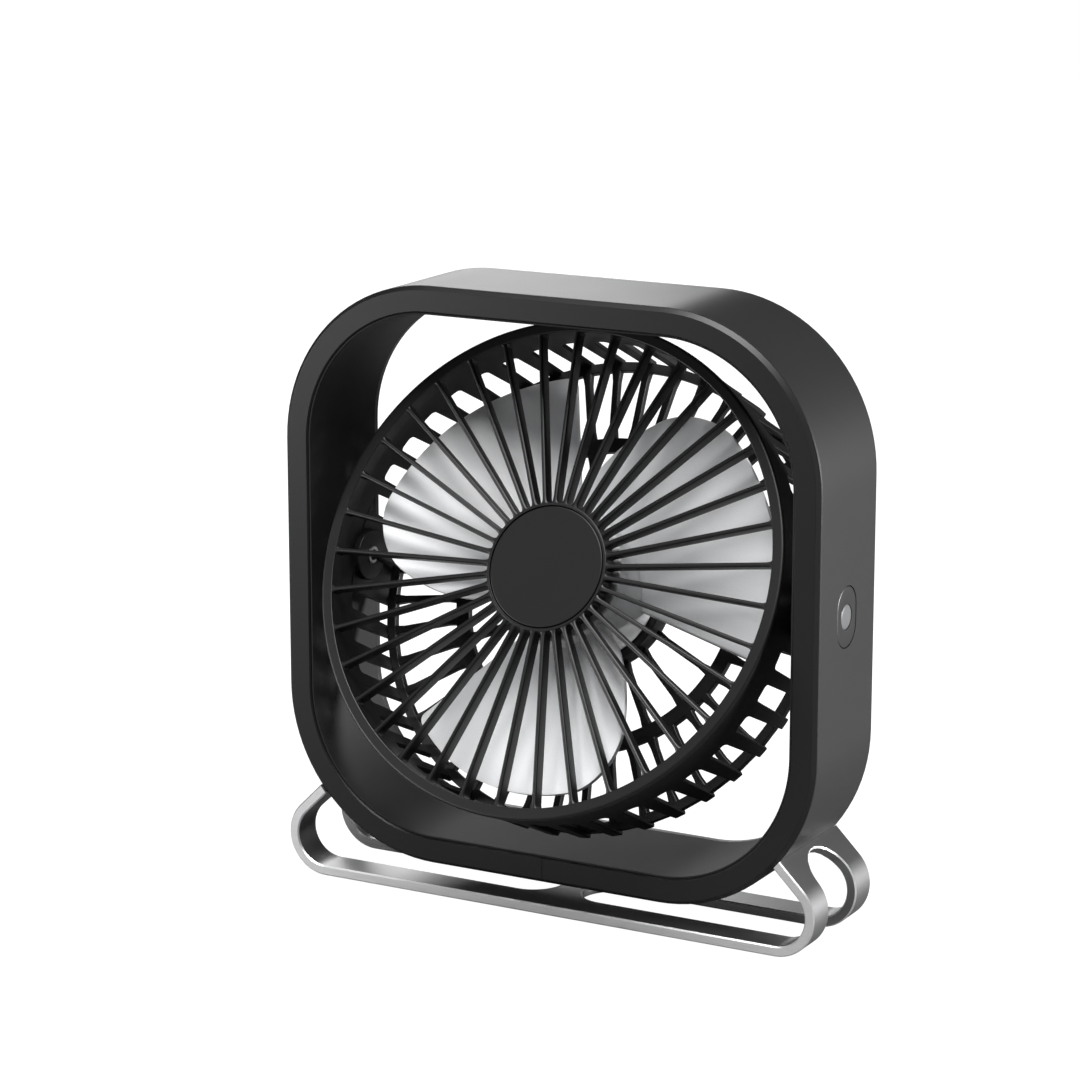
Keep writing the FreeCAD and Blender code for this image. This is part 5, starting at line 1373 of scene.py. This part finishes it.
# ---- impeller ----
class DESKFAN_OT_impeller(bpy.types.Operator):
    """Turned hub, and blades that climb along the axis as they turn, arched and round-cornered"""

    bl_idname = "deskfan.impeller"
    bl_label = "Impeller"

    def execute(self, context):
        sizes = context.scene.desk_fan_impeller
        inside = sizes.hub - sizes.hub_wall
        floor = sizes.hub_front - 1.6 * MM
        hub = [(0, floor), (inside, floor), (inside, -sizes.hub_back), (sizes.hub, -sizes.hub_back)]
        hub += [(sizes.hub, sizes.hub_front), (0, sizes.hub_front)]
        skin = Skin()
        add_turned(skin, hub, [0, 0.5, 0.15, 0.2, 0.6, 0], 120)
        blade = self.blade(sizes)
        for i in range(sizes.blades):
            turn = -TAU * i / sizes.blades
            cos, sin = math.cos(turn), math.sin(turn)
            x, y, z = np.moveaxis(blade, -1, 0)
            turned = np.stack([x * cos - z * sin, y, x * sin + z * cos], -1)
            skin.grid(turned, close_cols=True)
        place_piece("impeller_skin", skin, tilt, "impeller", impeller_grey())
        return {"FINISHED"}

    @staticmethod
    def blade(sizes):
        """Rows from the hub to the tip, each a closed loop round the blade's section.

        A point has a share of the way from the leading to the trailing edge and a share of the thickness.
        The edge's angle sweeps evenly with radius. Distance ahead rises evenly with the share and is arched
        by a parabola. Near the tip's corners the radius falls away along a circle.
        """
        tip_arc = sizes.tip * sizes.span
        edge = sizes.thick / 2 / tip_arc
        shares = (1 - np.cos(np.linspace(0, math.pi, 49))) / 2
        shares = edge + (1 - 2 * edge) * shares
        rounds = np.linspace(math.pi / 2, -math.pi / 2, 7)[1:-1]
        bulge, height = edge * np.cos(rounds), 0.5 * np.sin(rounds)
        along = np.concatenate([shares, 1 - edge + bulge, shares[::-1], edge - bulge])
        level = np.concatenate([np.ones_like(shares), 0.5 + height, np.zeros_like(shares), 0.5 - height])
        fall = np.zeros_like(along)
        tip_corners = ((1 - along, sizes.trailing_round), (along, sizes.leading_round))
        for part, corner in tip_corners:
            distance = part * tip_arc
            short = np.clip(corner - distance, 0, corner)
            fall = np.maximum(fall, corner - np.sqrt(np.maximum(corner ** 2 - short ** 2, 0)))
        root = sizes.hub - sizes.hub_wall * 0.6
        rows, rounding = 30, 4
        radial = np.concatenate([[0.0, 0.0], np.linspace(0, 1, rows), np.ones(rounding)])[:, None]
        closing = np.cos(np.linspace(0, math.pi / 2, rounding + 1)[1:])
        flat = np.concatenate([[0.0, 1.0], np.ones(rows), closing])
        opening = 1 - np.sin(np.linspace(math.pi / 2, 0, rounding + 1)[1:])
        inset = np.concatenate([np.zeros(rows + 2), opening])[:, None]
        top = sizes.tip - fall - sizes.thick / 2
        radius = root + radial * (top - root) + (sizes.thick / 2) * (1 - inset) * (radial == 1)
        radius = np.minimum(radius, sizes.tip - fall)
        reach = sizes.span + sizes.sweep * (sizes.tip - radius) / (sizes.tip - sizes.hub)
        bearing = sizes.start + along * reach
        ahead = sizes.rise * (along - 0.5) + sizes.camber * 4 * along * (1 - along)
        root_swell = 1 + 0.9 * np.exp(-np.maximum(radius - sizes.hub, 0) / (0.9 * MM))
        spread = 0.5 + (level - 0.5) * flat[:, None] * root_swell
        y = -(ahead + spread * sizes.thick)
        return np.stack([radius * np.cos(bearing), y, radius * np.sin(bearing)], -1)


# ---- kept parts ----
class DESKFAN_OT_kept_parts(bpy.types.Operator):
    """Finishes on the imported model's own meshes, which stay where they are"""

    bl_idname = "deskfan.kept_parts"
    bl_label = "Kept Parts"

    def execute(self, context):
        for node, part in frame["nodes"].items():
            part.data.materials.clear()
            part.data.materials.append(FINISH_OF_SLOT[SLOT_OF_NODE[node]]())
        return {"FINISHED"}


# ---- stage ----
class DESKFAN_OT_stage(bpy.types.Operator):
    """Pale floor, soft lamps and the camera"""

    bl_idname = "deskfan.stage"
    bl_label = "Stage"

    def execute(self, context):
        stage = context.scene.desk_fan_stage
        self.floor(stage)
        self.room(context.scene, stage)
        centre = Vector((0, 0, CENTRE_HEIGHT))
        lamp = self.lamp
        lamp("key_lamp", centre, azimuth=14, elevation=64, distance=1.3, size=(0.8, 0.8), power=29.0)
        lamp("back_lamp", centre, azimuth=222, elevation=17, distance=1.5, size=(0.9, 0.5), power=5.0)
        lamp("side_lamp", centre, azimuth=112, elevation=4, distance=1.2, size=(0.35, 0.35), power=24.0)
        lamp("front_lamp", centre, azimuth=-50, elevation=4, distance=1.0, size=(0.4, 0.25), power=4.5)
        self.camera(context.scene, stage, centre)
        return {"FINISHED"}

    @staticmethod
    def away(azimuth, elevation):
        """Direction from the fan to a place. Azimuth is 0 in front and grows to the right."""
        level = math.cos(elevation)
        return Vector((math.sin(azimuth) * level, -math.cos(azimuth) * level, math.sin(elevation)))

    def lamp(self, name, centre, azimuth, elevation, distance, size, power):
        """A soft box at a place round the fan, facing it. Angles are in degrees."""
        data = bpy.data.lights.new(name, "AREA")
        data.shape = "RECTANGLE"
        data.size, data.size_y = size
        data.energy = power
        lamp = bpy.data.objects.new(name, data)
        direction = self.away(math.radians(azimuth), math.radians(elevation))
        lamp.location = centre + direction * distance
        lamp.rotation_euler = direction.to_track_quat("Z", "Y").to_euler()
        lamp.visible_camera = False
        bpy.context.scene.collection.objects.link(lamp)

    @staticmethod
    def floor(stage):
        """A round sheet: rings of points whose radius doubles from ring to ring."""
        turns = TAU * np.arange(96) / 96
        radii = np.concatenate([[0.0], stage.floor / 2 / 2.0 ** np.arange(6, -1, -1)])
        x, y = radii[:, None] * np.cos(turns), radii[:, None] * np.sin(turns)
        skin = Skin()
        skin.grid(np.stack([x, y, np.zeros_like(x)], -1), close_cols=True)
        mesh = skin.mesh("floor", as_it_is)
        material = bpy.data.materials.new("pale_floor")
        material.use_nodes = True
        tree = material.node_tree
        principled = tree.nodes["Principled BSDF"]
        principled.inputs["Base Color"].default_value = (0.18, 0.18, 0.18, 1)
        principled.inputs["Roughness"].default_value = 0.8
        principled.inputs["Specular IOR Level"].default_value = 0.1
        glow = make_node(tree, "ShaderNodeEmission", Strength=stage.glow)
        seen = make_node(tree, "ShaderNodeAddShader")
        rays = make_node(tree, "ShaderNodeLightPath")
        mix = make_node(tree, "ShaderNodeMixShader")
        tree.links.new(glow.outputs["Emission"], seen.inputs[0])
        tree.links.new(principled.outputs["BSDF"], seen.inputs[1])
        tree.links.new(rays.outputs["Is Camera Ray"], mix.inputs["Fac"])
        tree.links.new(principled.outputs["BSDF"], mix.inputs[1])
        tree.links.new(seen.outputs["Shader"], mix.inputs[2])
        tree.links.new(mix.outputs["Shader"], tree.nodes["Material Output"].inputs["Surface"])
        mesh.materials.append(material)
        sheet = bpy.data.objects.new("floor", mesh)
        bpy.context.scene.collection.objects.link(sheet)

    @staticmethod
    def room(scene, stage):
        """A grey room that looks white to the camera."""
        world = bpy.data.worlds.new("studio")
        world.use_nodes = True
        tree = world.node_tree
        background = tree.nodes["Background"]
        background.inputs["Strength"].default_value = stage.world
        seen = make_node(tree, "ShaderNodeBackground", Strength=1.0)
        seen.inputs["Color"].default_value = (1, 1, 1, 1)
        background.inputs["Color"].default_value = (1, 1, 1, 1)
        rays = make_node(tree, "ShaderNodeLightPath")
        mix = make_node(tree, "ShaderNodeMixShader")
        tree.links.new(rays.outputs["Is Camera Ray"], mix.inputs["Fac"])
        tree.links.new(background.outputs["Background"], mix.inputs[1])
        tree.links.new(seen.outputs["Background"], mix.inputs[2])
        tree.links.new(mix.outputs["Shader"], tree.nodes["World Output"].inputs["Surface"])
        scene.world = world

    def camera(self, scene, stage, centre):
        """Camera on the line of sight, stepped aside and up so that the fan sits off the middle."""
        back = self.away(stage.azimuth, stage.elevation)
        right = (-back).cross(Vector((0, 0, 1))).normalized()
        up = right.cross(-back)
        data = bpy.data.cameras.new("camera")
        data.sensor_width = 36.0
        data.lens = stage.lens
        data.clip_end = 100.0
        camera = bpy.data.objects.new("camera", data)
        camera.location = centre + back * stage.distance - right * stage.shift_left + up * stage.shift_up
        camera.rotation_euler = back.to_track_quat("Z", "Y").to_euler()
        scene.collection.objects.link(camera)
        scene.camera = camera
        scene.view_settings.view_transform = "Standard"


# ---- add-on ----
OPERATORS = (
    DESKFAN_OT_frame_shell,
    DESKFAN_OT_front_trim,
    DESKFAN_OT_frame_liner,
    DESKFAN_OT_frame_screws,
    DESKFAN_OT_power_button,
    DESKFAN_OT_power_inlet,
    DESKFAN_OT_stand,
    DESKFAN_OT_front_grille,
    DESKFAN_OT_rear_cage,
    DESKFAN_OT_impeller,
    DESKFAN_OT_kept_parts,
    DESKFAN_OT_stage,
)


class DESKFAN_PT_pieces(bpy.types.Panel):
    """The fan's pieces, in the order they are built"""

    bl_label = "Desk Fan"
    bl_idname = "DESKFAN_PT_pieces"
    bl_space_type = "VIEW_3D"
    bl_region_type = "UI"
    bl_category = "Desk Fan"

    def draw(self, context):
        for operator in OPERATORS:
            self.layout.operator(operator.bl_idname)


def register():
    for group in SETTINGS.values():
        bpy.utils.register_class(group)
    for name, group in SETTINGS.items():
        setattr(bpy.types.Scene, name, bpy.props.PointerProperty(type=group))
    for operator in OPERATORS:
        bpy.utils.register_class(operator)
    bpy.utils.register_class(DESKFAN_PT_pieces)


def unregister():
    bpy.utils.unregister_class(DESKFAN_PT_pieces)
    for operator in reversed(OPERATORS):
        bpy.utils.unregister_class(operator)
    for name, group in reversed(SETTINGS.items()):
        delattr(bpy.types.Scene, name)
        bpy.utils.unregister_class(group)


def main():
    register()
    for operator in OPERATORS:
        category, name = operator.bl_idname.split(".")
        getattr(getattr(bpy.ops, category), name)()


if __name__ == "__main__":
    main()
